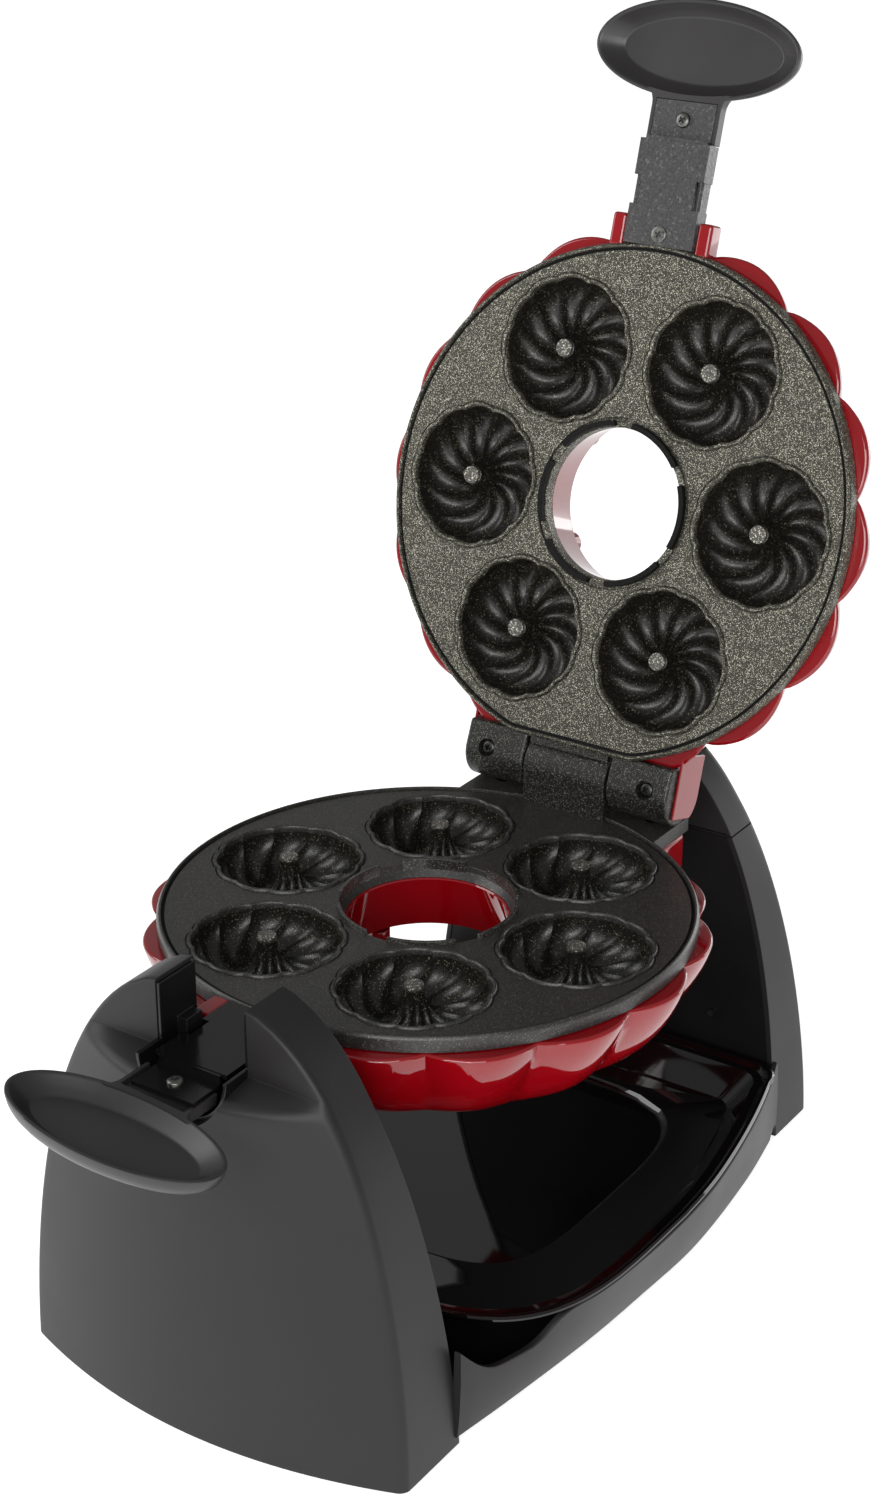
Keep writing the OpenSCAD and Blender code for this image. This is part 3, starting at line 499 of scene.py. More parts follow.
def makePlate(side, chord, twistSign, holeWall):
    body, groove = makePlateBody(side + "Plate", chord, holeWall)
    holeLine = mouldRing(mould["radius"], 0, mould["rimWave"], 0, twistSign, 2.8)
    cutter = outlinePrism("mouldHole", [(p[0], p[1]) for p in holeLine], -9, 3)
    cutters = []
    atMoulds(lambda number, spot: cutters.append(copyAt(cutter, "cutter%d" % number, spot)))
    bpy.data.objects.remove(cutter)
    combine(body, joined("mouldHoles", cutters), "DIFFERENCE")
    cup = makeMould("cup", twistSign)
    cups = []
    atMoulds(lambda number, spot: cups.append(copyAt(cup, side + "Mould%d" % (number + 1), spot)))
    bpy.data.objects.remove(cup)
    lip = makeLip("lip", twistSign)
    knob = cylinderAt("knob", mould["post"] - 0.35, plate["faceZ"] - 1, plate["faceZ"] + 0.75, count=32)
    soften(knob, 0.3, 2, 50)
    trims, knobs = [body], []
    atMoulds(lambda number, spot: trims.append(copyAt(lip, "lip%d" % number, spot)))
    atMoulds(lambda number, spot: knobs.append(copyAt(knob, "knob%d" % number, spot)))
    for spare in (lip, knob):
        bpy.data.objects.remove(spare)
    body = joined(side + "PlateBody", trims)
    return body, joined(side + "Moulds", cups), joined(side + "Posts", knobs), groove


def barrelPrism(name, x0, x1, outline, width, steps=3):
    # an outline in the side view, run along the hinge axis, with soft end edges
    block = loft(name, [[(x0, y, z) for y, z in outline], [(x1, y, z) for y, z in outline]], True, True)
    soften(block, width, steps, 50)
    return block


def arcPoints(cy, cz, radius, start, end, steps):
    return [(cy + radius * math.cos(math.radians(start + (end - start) * i / steps)),
             cz + radius * math.sin(math.radians(start + (end - start) * i / steps)))
            for i in range(steps + 1)]


def cylinderAt(name, radius, z0, z1, x=0, y=0, count=48):
    bpy.ops.object.select_all(action="DESELECT")
    middle = (x, y, (z0 + z1) / 2)
    bpy.ops.mesh.primitive_cylinder_add(vertices=count, radius=radius, depth=z1 - z0, location=middle)
    return named(name)


def lyingCylinder(name, radius, z0, z1, place, count=48):
    bar = cylinderAt(name, radius, z0, z1, count=count)
    bar.matrix_world = place
    bakePlace(bar)
    return bar


def blockAt(name, low, high, width=0.0, steps=2):
    size = [b - a for a, b in zip(low, high)]
    bpy.ops.object.select_all(action="DESELECT")
    bpy.ops.mesh.primitive_cube_add(size=1, location=[(a + b) / 2 for a, b in zip(low, high)], scale=size)
    block = named(name)
    bakePlace(block)
    if width:
        openEdit(block)
        bpy.ops.mesh.select_all(action="SELECT")
        bpy.ops.mesh.bevel(offset=width, segments=steps, affect="EDGES")
        closeEdit()
    return block


def ringBlocks(name, outer, inner, half, z0, z1, width):
    # six short curved blocks round the middle hole
    blocks = []
    for number in range(6):
        middle = 60 * number
        line = (arcPoints(0, 0, outer, middle - half, middle + half, 14)
                + arcPoints(0, 0, inner, middle + half, middle - half, 14))
        block = outlinePrism(name, line, z0, z1)
        soften(block, width, 2, 50)
        blocks.append(block)
    return blocks


def settlePlate(side, rows):
    # rows of piece, finish, smoothing angle and the nodes it stands for
    place, body = halves[side]
    for piece, finish, angle, nodes in rows:
        settle(piece, place, finish, body, nodes, angle)
    print(side, "plate done")


# the upper plate: a chord towards the hinge, two ears with sunk screws, and six lugs round the hole
upperBody, upperMoulds, upperPosts, upperGroove = makePlate("upper", plate["chordY"], -1,
                                                            [(34.0, plate["underZ"]),
                                                             (34.0, plate["faceZ"] - 0.4),
                                                             (34.4, plate["faceZ"]), (37.0, plate["faceZ"]),
                                                             (37.05, -2.9), (38.3, -2.9),
                                                             (38.45, plate["faceZ"])])
earTop = -1.7
earOutline = ([(109.6, earTop)] + arcPoints(hingeY, -hingeZ, plate["barrel"], 90, -90, 18)
              + [(hingeY - 7, -hingeZ - plate["barrel"]), (109.6, -13)])
ears = []
for side in (-1, 1):
    ear = barrelPrism("ear", side * 22.2, side * 53.6, earOutline, 1.6)
    combine(ear, cylinderAt("sink", 4.3, -4.2, 3, side * 42, hingeY - 1), "DIFFERENCE")
    ears.append(ear)
# the six lugs round the hole are painted near-black as shade
lugs = ringBlocks("lug", 37.0, 34.5, 23, -3, 1.7, 0.35)
tab = blockAt("tab", (-20.4, 109.6, -2.9), (20.4, 114.4, -1.5), 0.5, 3)
upperPlate = joined("upperPlate", [upperBody])
upperEars = joined("upperEars", ears + [tab])
upperLugs = joined("upperLugs", lugs)
# the ears take painted shade; the lugs and the groove strip take painted near-black shade
settlePlate("upper", [(upperEars, earPaintedShadeCoat, 30, ()), (upperLugs, paintedShadeBlack, 30, ()),
                      (upperGroove, paintedShadeBlack, 30, ()), (upperPlate, upperCoat, 30, ["upper_plate"]),
                      (upperMoulds, mouldCoat, 22, ()), (upperPosts, postGrey, 38, ())])

# the lower plate: six raised arcs round the hole, a rear ear and the middle knuckle
lowerBody, lowerMoulds, lowerPosts, lowerGroove = makePlate("lower", None, 1,
                                     [(35.3, plate["underZ"]), (37.7, -3.8), (37.8, plate["faceZ"] - 0.3),
                                      (38.1, plate["faceZ"])])
arcs = ringBlocks("arc", 39.0, 37.3, 22, -5, 0.6, 0.3)
rearEar = blockAt("rearEar", (-plate["earHalf"], 96, -7.2), (plate["earHalf"], hingeY + 11, -0.35))
openEdit(rearEar)
bpy.ops.mesh.select_all(action="DESELECT")
mesh = bmesh.from_edit_mesh(rearEar.data)
for edge in mesh.edges:
    a, b = (v.co for v in edge.verts)
    edge.select = abs(a.x - b.x) < 0.01 and abs(a.y - b.y) < 0.01 and a.y > 110
bmesh.update_edit_mesh(rearEar.data)
bpy.ops.mesh.bevel(offset=7, segments=6, affect="EDGES")
closeEdit()
combine(rearEar, cylinderAt("plateRoom", plate["radius"] - 1.5, -12, 3, count=160), "DIFFERENCE")
soften(rearEar, 1.0, 3, 50)
for x in (-40, 40):
    combine(rearEar, cylinderAt("sink", 4.3, -2.6, 3, x, hingeY), "DIFFERENCE")
knuckleLine = [(hingeY + plate["barrel"], -7), (hingeY + plate["barrel"], hingeZ)] \
    + arcPoints(hingeY, hingeZ, plate["barrel"], 10, 180, 20) + [(hingeY - plate["barrel"], -7)]
knuckle = barrelPrism("knuckle", -21.4, 21.4, knuckleLine, 1.0)
lowerPlate = joined("lowerPlate", [lowerBody, rearEar])
lowerArcs = joined("lowerArcs", arcs)
# the knuckle takes painted shade, and the groove strip painted near-black shade
settlePlate("lower",
            [(knuckle, earPaintedShadeCoat, 30, ()), (lowerArcs, edgeCoat, 30, ()), (lowerGroove, paintedShadeBlack, 30, ()),
             (lowerPlate, lowerCoat, 30, ["lower_plate"]), (lowerMoulds, mouldCoat, 22, ()),
             (lowerPosts, postGrey, 38, ())])

# ---- the shells ----
shell = {"radius": 121.6, "lobes": 16, "perLobe": 16, "topZ": -7.35, "depth": 51.8, "belly": 78.0,
         "valley": 6.6, "tubeDepth": 32.0, "tubeTop": 35.6, "mouth": 38.4}


def shellRing(radius, z, valley, power):
    points = []
    total = shell["lobes"] * shell["perLobe"]
    for number in range(total):
        phase = 2 * abs((number / shell["perLobe"]) % 1 - 0.5)     # 1 on a peak, 0 in a valley
        dip = valley * (1 - math.sin(math.pi / 2 * phase) ** power)
        angle = 2 * math.pi * number / total
        reach = radius - dip
        points.append((reach * math.cos(angle), reach * math.sin(angle), z))
    return points


def makeShell(name):
    s = shell

    def wall(step, inward):
        t = math.pi / 2 * step / 16
        radius = s["belly"] + (s["radius"] - s["belly"]) * math.cos(t) - inward * math.cos(t)
        z = s["topZ"] - 1.6 - (s["depth"] + s["topZ"] - 1.6) * math.sin(t) ** 1.5 + inward * math.sin(t)
        fade = 1 - smoothStep(0.25, 1.0, step / 16)
        return shellRing(radius, z, s["valley"] * (0.1 + fade) * (1 if step < 16 else 0.5),
                         0.8 + 0.7 * step / 16)

    def under(share, inward):
        radius = s["mouth"] + 0.8 + (s["belly"] - s["mouth"] - 0.8) * share
        return shellRing(radius, -s["tubeDepth"] - (s["depth"] - s["tubeDepth"]) * share ** 1.1 + inward,
                         s["valley"] * 0.1 * share, 1)

    rings = [shellRing(s["tubeTop"], s["topZ"], 0, 1), shellRing(s["tubeTop"] - 0.9, s["topZ"] + 0.05, 0, 1),
             shellRing(s["tubeTop"] - 1.4, s["topZ"] - 0.5, 0, 1),
             shellRing(s["mouth"], -s["tubeDepth"] + 1.2, 0, 1),
             shellRing(s["mouth"] + 0.2, -s["tubeDepth"] + 0.3, 0, 1),
             shellRing(s["mouth"] + 0.8, -s["tubeDepth"], 0, 1)]
    rings += [under(share, 0) for share in (0.25, 0.5, 0.75, 0.93)]
    rings += [wall(step, 0) for step in range(16, -1, -1)]
    rings += [shellRing(s["radius"] - 0.1, s["topZ"] - 1.0, s["valley"], 0.8),
              shellRing(s["radius"] - 0.7, s["topZ"] - 0.25, s["valley"], 0.8),
              shellRing(s["radius"] - 1.6, s["topZ"], s["valley"], 0.8), shellRing(109, s["topZ"], 1, 1)]
    rings += [wall(step, 2.8) for step in range(3, 17)]
    rings += [under(share, 2.8) for share in (0.75, 0.5, 0.25)]
    rings += [shellRing(s["mouth"] + 3.0, 2.6 - s["tubeDepth"], 0, 1)]
    return loft(name, rings + [rings[0]], joinEnds=True)


bossAngles = (30, 150, 210, 330)


def bossSpot(angle):
    return 52 * math.cos(math.radians(angle)), 52 * math.sin(math.radians(angle))


def slopedLug(name, x0, x1, y0, y1, z0, z1, width=1.6):
    return blockAt(name, (min(x0, x1), y0, z0), (max(x0, x1), y1, z1), width, 3)


neckLugOut = {"lower": 26.5, "upper": 25.0}      # outer face of the lugs beside the neck
baseShell = makeShell("baseShell")
for sideName, (place, bodyName) in halves.items():
    body = copyAt(baseShell, sideName + "ShellBody", Matrix.Identity(4))
    parts = [body]
    neckCut = blockAt("neckCut", (-17.8, -140, -13), (17.8, -111, 2))
    combine(body, neckCut, "DIFFERENCE")
    for angle in bossAngles:
        boss = cylinderAt("boss", 5.5, -51.9, -38, *bossSpot(angle))
        soften(boss, 0.6, 2, 50)
        parts.append(boss)
    for side in (-1, 1):
        parts.append(slopedLug("neckLug", side * 17.9, side * neckLugOut[sideName], -127, -112, -11, -1.2))
        if sideName == "upper":
            outer = ([(104, -7.4)] + arcPoints(hingeY, -hingeZ, plate["barrel"], 29, -90, 14)
                     + [(104, -hingeZ - plate["barrel"])])
            line = [(min(y, hingeY + 10.4), z) for y, z in outer]
            parts.append(barrelPrism("hood", side * 53.7, side * 55.0, line, 0.4))
        else:
            parts.append(slopedLug("rearCheek", side * 17.0, side * 51.5, 100, hingeY + 9.5, -26, -7.4, 2.6))
    piece = joined(sideName + "Shell", parts)
    settle(piece, place, shellRed, bodyName, [sideName + "_shell"], 50)
bpy.data.objects.remove(baseShell)
print("shells done")

# ---- grips and brackets ----
grip = {"y": -200.0, "halfW": 50.3, "halfD": 21.8, "rimZ": -4.6, "floorW": 39.5, "floorD": 14.3,
        "floorZ": -11.2, "underW": 42.0, "underD": 16.0, "underZ": -14.0, "neckHalf": 17.1, "neckZ": -9.7}


def ovalRing(halfW, halfD, z, count=112):
    return [(halfW * math.cos(2 * math.pi * n / count),
             grip["y"] + halfD * math.sin(2 * math.pi * n / count), z) for n in range(count)]


def makeGrip(name):
    g = grip
    rings = [ovalRing(g["floorW"] * 0.5, g["floorD"] * 0.5, g["floorZ"]),
             ovalRing(g["floorW"] - 0.8, g["floorD"] - 0.8, g["floorZ"]),
             ovalRing(g["floorW"], g["floorD"], g["floorZ"] + 0.12),
             ovalRing(g["floorW"] + 0.7, g["floorD"] + 0.6, g["floorZ"] + 0.7)]
    for share in (0.25, 0.5, 0.75, 0.92):
        rings.append(ovalRing(g["floorW"] + 0.7 + (g["halfW"] - g["floorW"] - 2.6) * share,
                              g["floorD"] + 0.6 + (g["halfD"] - g["floorD"] - 2.4) * share,
                              g["floorZ"] + 0.7 + (g["rimZ"] - g["floorZ"] - 1.0) * share ** 1.15))
    rings += [ovalRing(g["halfW"] - back, g["halfD"] - back, g["rimZ"] - down)
              for back, down in ((1.7, 0.15), (1.2, 0), (0.5, 0), (0, 0.4), (0, 1.3))]
    for share in (0.2, 0.4, 0.6, 0.8, 0.93, 1.0):
        rings.append(ovalRing(g["halfW"] - (g["halfW"] - g["underW"]) * share ** 1.5,
                              g["halfD"] - (g["halfD"] - g["underD"]) * share ** 1.5,
                              g["rimZ"] - 1.3
                              + (g["underZ"] - g["rimZ"] + 1.3) * math.sin(share * math.pi / 2)))
    rings.append(ovalRing(g["underW"] * 0.5, g["underD"] * 0.5, g["underZ"]))
    dish = loft(name, rings, True, True)
    h, front, back = g["neckHalf"], g["y"] + g["halfD"] - 6, -160.4
    flare = 5.0
    line = [(-h, back), (-h, front + 9)]
    line += [(-h - flare * (1 - math.cos(a)),
              front + 9 - flare * math.sin(a) * 1.4) for a in (0.3, 0.6, 0.9, 1.2, 1.5)]
    line = [(-x, y) for x, y in line] + line[::-1]
    neck = outlinePrism("gripNeck", line, g["neckZ"], -4.55)
    soften(neck, 0.8, 3, 50)
    combine(neck, blockAt("bracketSeat", (-15.3, -178.0, -6.6), (15.3, -150, 0)), "DIFFERENCE")
    ring = ovalRing(g["floorW"] + 2.5, g["floorD"] + 2.5, -16)
    top = ovalRing(g["halfW"] - 2.0, g["halfD"] - 2.0, g["rimZ"] + 2)
    low = ovalRing(g["halfW"] - 2.4, g["halfD"] - 2.4, g["rimZ"] - 1.5)
    combine(neck, loft("dishRoom", [ring, low, top], True, True), "DIFFERENCE")
    return joined(name, [dish, neck])


neck = {"half": 17.3, "window": 13.6, "lowHalf": 15.0, "webZ": -0.5, "lowZ": -4.5, "sheet": 2.0,
        "flangeZ": -8.8, "root": -114.4, "windowStart": -131.5, "windowEnd": -144.0}


def makeBracket(name):
    # folded sheet: a wide part with windows in its sides, a step down and a narrower end
    n = neck
    half = n["half"]
    right = [(half, -160), (half, n["windowEnd"]), (n["window"], n["windowEnd"]),
             (n["window"], n["windowStart"]), (half, n["windowStart"]), (half, n["root"])]
    upperWeb = outlinePrism(name, [(-x, y) for x, y in right[::-1]] + right, n["webZ"] - n["sheet"],
                            n["webZ"])
    for low, high in ((n["root"], n["windowStart"]), (n["windowEnd"], -160.0)):
        for side in (-1, 1):
            combine(upperWeb, blockAt("flange", (min(side * half, side * (half - 2)), high, n["flangeZ"]),
                                      (max(side * half, side * (half - 2)), low, n["webZ"] - 0.1)), "UNION")
    for side in (-1, 1):
        inner = sorted((side * (n["half"] - 0.6), side * (n["half"] - 2.0)))
        sill = blockAt("sill", (inner[0], -160, n["flangeZ"]), (inner[1], -116, n["flangeZ"] + 6.2))
        combine(upperWeb, sill, "UNION")
    wide, under = n["lowHalf"], n["lowZ"] - 1.9
    combine(upperWeb, blockAt("step", (-wide, -161.4, under), (wide, -159.4, n["webZ"] - 0.3)), "UNION")
    combine(upperWeb, blockAt("lowWeb", (-wide, -177.6, under), (wide, -160.5, n["lowZ"])), "UNION")
    soften(upperWeb, 0.55, 3, 40)
    return upperWeb


gripTilt = {"upper": Matrix.Identity(4),
            "lower": Matrix.Translation((-1.5, -4.0, -9.5)) @ Matrix.Rotation(math.radians(4.5), 4, "Y")
            @ Matrix.Translation((0, 0, 9.0))}
bracketFinish = {"upper": powderBlack, "lower": glossBlack}
baseBracket = makeBracket("baseBracket")
baseGrip = makeGrip("baseGrip")
for sideName, (place, bodyName) in halves.items():
    piece = copyAt(baseGrip, sideName + "Grip", gripTilt[sideName])
    settle(piece, place, gripSatin, bodyName, [sideName + "_grip"], 40)
    bracket = copyAt(baseBracket, sideName + "Bracket", Matrix.Identity(4))
    settle(bracket, place, bracketFinish[sideName], bodyName, [sideName + "_bracket"], 40)
    shadePads = []                        # painted shade: dark pads close the view through the side windows
    for side in (-1, 1):
        inner, outer = sorted((side * neck["window"], side * (neck["window"] - 1.2)))
        shadePads.append(blockAt("windowShadePad", (inner, neck["windowEnd"] - 0.4, neck["flangeZ"] + 0.4),
                            (outer, neck["windowStart"] + 0.4, neck["webZ"] - 0.5), 0.2))
    settle(joined(sideName + "WindowShadePads", shadePads), place, cradleBlack, bodyName, (), 40)
bpy.data.objects.remove(baseBracket)
bpy.data.objects.remove(baseGrip)
print("grips and brackets done")

# ---- screws ----
screw = {"radius": 3.5, "cross": 4.2, "slot": 0.95, "deep": 1.3}


def makeScrewHead(name, radius, rise):
    head = cylinderAt(name, radius, -1.5, 0.0, count=40)
    openEdit(head)
    bpy.ops.mesh.select_all(action="DESELECT")
    mesh = bmesh.from_edit_mesh(head.data)
    for face in mesh.faces:
        face.select = face.normal.z > 0.9
    bmesh.update_edit_mesh(head.data)
    for inset, up in ((0.35, 0.55), (0.7, 0.3), (0.8, 0.12)):
        bpy.ops.mesh.inset(thickness=inset * radius / 3.5, depth=up * rise)
    closeEdit()
    arm = radius * 0.56
    cross = blockAt("cross", (-arm, -screw["slot"] / 2, -screw["deep"] + rise), (arm, screw["slot"] / 2, 3))
    other = blockAt("crossArm", (-screw["slot"] / 2, -arm, -screw["deep"] + rise),
                    (screw["slot"] / 2, arm, 3))
    combine(cross, other, "UNION")
    openEdit(cross)                  # the recess narrows as it goes down
    mesh = bmesh.from_edit_mesh(cross.data)
    for point in mesh.verts:
        if point.co.z < 1:
            point.co.x *= 0.72
            point.co.y *= 0.72
    bmesh.update_edit_mesh(cross.data)
    closeEdit()
    combine(head, cross, "DIFFERENCE")
    return head


panHead = makeScrewHead("panHead", 3.4, 0.9)
flatHead = makeScrewHead("flatHead", 3.5, 0.25)
boreHead = makeScrewHead("boreHead", 3.3, 0.7)


def placeScrews(name, head, spots, place, body, nodes, finish):
    copies = []                      # a fifth value turns the head face down
    for i, spot in enumerate(spots):
        flip = Matrix.Rotation(math.pi, 4, "X") if len(spot) > 4 else Matrix.Identity(4)
        turn = Matrix.Rotation(math.radians(spot[3]), 4, "Z")
        copies.append(copyAt(head, name + "%d" % i, Matrix.Translation(spot[:3]) @ turn @ flip))
    piece = joined(name, copies)
    bakePlace(piece)
    return settle(piece, place, finish, body, nodes, 35)


for sideName, (place, bodyName) in halves.items():
    root = copyAt(flatHead, "rootHead", Matrix.Translation((0, -119.5, -0.75)) @ Matrix.Rotation(0.4, 4, "Z"))
    front = copyAt(panHead, "gripHead", Matrix.Translation((0, -169.5, -4.35)) @ Matrix.Rotation(0.9, 4, "Z"))
    piece = joined(sideName + "HandleScrews", [root, front])
    bakePlace(piece)
    settle(piece, place, darkScrew, bodyName, [sideName + "_handle_screws"], 35)
placeScrews("upperEarScrews", boreHead, [(-42, hingeY - 1, -3.0, 20), (42, hingeY - 1, -3.0, 50)], inUpper,
            "upper_half", ["upper_ear_screws"], blackScrew)
placeScrews("lowerEarScrews", boreHead, [(-40, hingeY, -1.9, 10), (40, hingeY, -1.9, 35)], inLower,
            "lower_half", ["lower_ear_screws"], blackScrew)
for sideName, (place, bodyName) in halves.items():
    spots = [(*bossSpot(angle), -51.0, angle, 1) for angle in bossAngles]
    placeScrews(sideName + "ShellScrews", panHead, spots, place, bodyName, [sideName + "_shell_screws"],
                zincSteel)
for head in (panHead, flatHead, boreHead):
    bpy.data.objects.remove(head)
print("screws done")

# ---- the stand ----
stand = {"halfW": 95.0, "high": axisHigh + 29, "powerX": 2.5, "powerZ": 1.9, "skirt": 1.5, "wall": 2.6,
         "frontInTop": -130.0, "frontInLow": -118.0,
         "rearInTop": 152.0, "rearInLow": 148.0, "leanTop": axisHigh - 15, "crease": 3.2, "cheekY": -153.0,
         "cheekZ": axisHigh - 3.0, "notch": 21.9, "seamZ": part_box("rear_cap")[0].z * 1000}


def frontFace(x, z):
    # the face bulges out between two creases, and is cut back to flat cheeks beside the notch
    crease = -156 + 3 * min(1, z / stand["cheekZ"])
    y = crease - 18.5 * max(0, 1 - (x / max(archHalf(z), 1)) ** 2)
    cheek = max(y, stand["cheekY"])
    if z >= stand["cheekZ"]:
        return cheek
    depth = min(1, (stand["cheekZ"] - z) / 7)
    return cheek + (y - cheek) * (1 - (1 - depth) ** 2)


def rearFace(x, z):
    crease = 185 - 13 * min(1, z / stand["cheekZ"])
    return crease + 13 * max(0, 1 - (x / max(archHalf(z), 1)) ** 2)


def innerLine(z, low, top):
    return low + (top - low) * min(1, z / stand["leanTop"])


def archHalf(z, inset=0):
    share = min(1, max(0, z / (stand["high"] - inset)))
    return (stand["halfW"] - inset) * max(0, 1 - share ** stand["powerZ"]) ** (1 / stand["powerX"])


def pedestalRow(z, face, low, top, sign):
    # plan view of one level: side strip, crease, bowed face, crease, side strip, then across the inner side
    half = max(archHalf(z), 0.4)
    soft = min(stand["crease"], half * 0.4)
    inner = innerLine(z, low, top)
    wall = min(stand["wall"], half * 0.3)
    right = []
    edgeY = face(half, z)
    for share in (0.0, 0.03, 0.35, 0.7):
        right.append((half, inner + (edgeY - sign * soft - inner) * share))
    for degrees in (0, 22.5, 45, 67.5, 90):
        a = math.radians(degrees)
        x = half - soft * (1 - math.cos(a))
        right.append((x, face(x, z) - sign * soft * (1 - math.sin(a))))
    columns = 22
    for number in range(1, columns):
        x = (half - soft) * (1 - number / columns)
        right.append((x, face(x, z)))
    left = [(-x, y) for x, y in right][::-1]
    lip = inner + sign
    back = [(-half + wall, inner), (-half + wall, lip), (-half * 0.5, lip), (0, lip), (half * 0.5, lip),
            (half - wall, lip), (half - wall, inner)]
    middle = [(0, face(0, z))]
    return [(x, y, z) for x, y in right + middle + left + back]


def pedestalLevels(z0, z1, extra=()):
    levels = [z0, z0 + 0.8] + [z0 + (z1 - z0) * n / 44 for n in range(2, 44)] + list(extra)
    return sorted(set(round(z, 3) for z in levels if z0 <= z <= z1)) + [z1]


cheekLevels = [stand["cheekZ"] - step for step in (-0.01, 0.02, 0.5, 1.2, 2.2, 3.4, 4.6, 5.8, 7)]
frontLevels = pedestalLevels(stand["skirt"], stand["high"] - 0.6, cheekLevels)
front = loft("frontPedestal", [pedestalRow(z, frontFace, stand["frontInLow"], stand["frontInTop"], -1)
                               for z in frontLevels], True, True)
notchLine = arcPoints(0, axisHigh, stand["notch"], 180, 360,
                      32) + [(stand["notch"], 250), (-stand["notch"], 250)]
notch = loft("notch", [[(x, -200, z) for x, z in notchLine], [(x, -90, z) for x, z in notchLine]], True, True)
combine(front, notch, "DIFFERENCE")
mergeClose(front, 0.12)
soften(front, 0.7, 2, 52)
settle(front, onTable, standSatin, "stand", ["front_pedestal"], 32)


def footArch(name):
    # the round cut in the foot of the rear pedestal, which the rails share
    place = Matrix.Translation((0, 147, 4)) @ Matrix.Rotation(math.pi / 2, 4, "Y")
    return lyingCylinder(name, 6.5, -120, 120, place, 40)


seam = stand["seamZ"]
rear = loft("rearPedestal", [pedestalRow(z, rearFace, stand["rearInLow"], stand["rearInTop"], 1)
                             for z in pedestalLevels(stand["skirt"], seam - 0.35)], True, True)
combine(rear, footArch("footArch"), "DIFFERENCE")
soften(rear, 0.6, 2, 52)
settle(rear, onTable, standSatin, "stand", ["rear_pedestal"], 32)
cap = loft("rearCap", [pedestalRow(z, rearFace, stand["rearInLow"], stand["rearInTop"], 1)
                       for z in pedestalLevels(seam + 0.05, stand["high"] - 0.6)], True, True)
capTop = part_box("rear_cap")[1].z * 1000
combine(cap, blockAt("capFlat", (-120, 100, capTop - 0.02), (120, 260, 260)), "DIFFERENCE")
bushPlace = Matrix.Translation((0, 0, axisHigh)) @ Matrix.Rotation(-math.pi / 2, 4, "X")
combine(cap, lyingCylinder("bushHole", 12.2, 140, 166, bushPlace), "DIFFERENCE")
mergeClose(cap, 0.1)
soften(cap, 0.6, 2, 52)
settle(cap, onTable, standSatin, "stand", ["rear_cap"], 32)
print("pedestals done")

linerEdge = 0.0004
for name, node in (("frontLiner", "front_liner"), ("rearLiner", "rear_liner")):
    piece = fromNode(name, node)
    soften(piece, linerEdge, 2, 50)
    settle(piece, Matrix.Identity(4), linerSatin, "stand", [node], 35)
cradle = fromNode("neckCradle", "neck_cradle")
soften(cradle, linerEdge, 2, 50)
settle(cradle, Matrix.Identity(4), cradleBlack, "stand", ["neck_cradle"], 40)

# ---- tray and rails ----
def alongCurve(points, y):
    # smooth curve through (y, value) points
    for i in range(len(points) - 1):
        (y0, v0), (y1, v1) = points[i], points[i + 1]
        if y <= y1 or i == len(points) - 2:
            before = points[max(0, i - 1)]
            after = points[min(len(points) - 1, i + 2)]
            h = y1 - y0
            m0 = (v1 - before[1]) / (y1 - before[0])
            m1 = (after[1] - v0) / (after[0] - y0)
            t = min(1, max(0, (y - y0) / h))
            return ((2 * t ** 3 - 3 * t ** 2 + 1) * v0 + (t ** 3 - 2 * t ** 2 + t) * h * m0
                    + (3 * t ** 2 - 2 * t ** 3) * v1 + (t ** 3 - t ** 2) * h * m1)


rail = {"low": [(-121, 96), (-90, 100.5), (-39, 106.5), (0, 109), (46, 110.5), (103, 105), (140, 98.3),
                (152, 95.3)],
        "top": [(-121, 97.5), (-100, 104), (-84, 108.5), (-68, 113.5), (-47, 118.5), (-20, 121),
                (11, 121.8), (40, 120.5), (66, 117), (99, 110.5), (129, 102.6), (152, 94.6)],
        "topZ": [(-121, 48), (-112, 38), (-104, 32.5), (-95, 31), (-82, 31), (-76, 34), (-70, 40),
                 (-64, 42.3), (-50, 42.5), (152, 42.5)], "lowZ": 6.0, "highZ": 42.5, "wall": 3.0,
        "start": -121, "end": 152}


def makeRail(name, side):
    rings = []
    for number in range(92):
        y = rail["start"] + (rail["end"] - rail["start"]) * number / 91
        low, top, topZ = (alongCurve(rail[key], y) for key in ("low", "top", "topZ"))
        lowZ, wall = rail["lowZ"], rail["wall"]
        share = (topZ - lowZ) / (rail["highZ"] - lowZ)
        reach = low + (top - low) * min(1, share)
        ring = [(low - wall, lowZ), (low - 0.6, lowZ), (low, lowZ + 0.7),
                (low + (reach - low) * 0.3 + 0.5, lowZ + (topZ - lowZ) * 0.3),
                (low + (reach - low) * 0.65 + 0.6, lowZ + (topZ - lowZ) * 0.65),
                (reach, topZ - 0.9), (reach - 0.3, topZ - 0.25), (reach - 1.0, topZ),
                (reach - wall + 0.4, topZ), (reach - wall, topZ - 0.5)]
        rings.append([(side * x, y, z) for x, z in ring])
    return loft(name, rings, True, True)


stations = [-121 + 27.3 * n for n in range(11)]
panLine = [(alongCurve(rail["low"], y) - 1.5, y) for y in stations]
pan = outlinePrism("pan", panLine + [(-x, y) for x, y in panLine[::-1]], rail["lowZ"] + 0.6, rail["lowZ"] + 3)
archCut = footArch("archCut")
rails = joined("baseFrame", [makeRail("rail", -1), makeRail("rail", 1)])
combine(rails, archCut, "DIFFERENCE")
rails = joined("baseFrame", [rails, pan])
settle(rails, onTable, standSatin, "stand", ["base_frame"], 32)


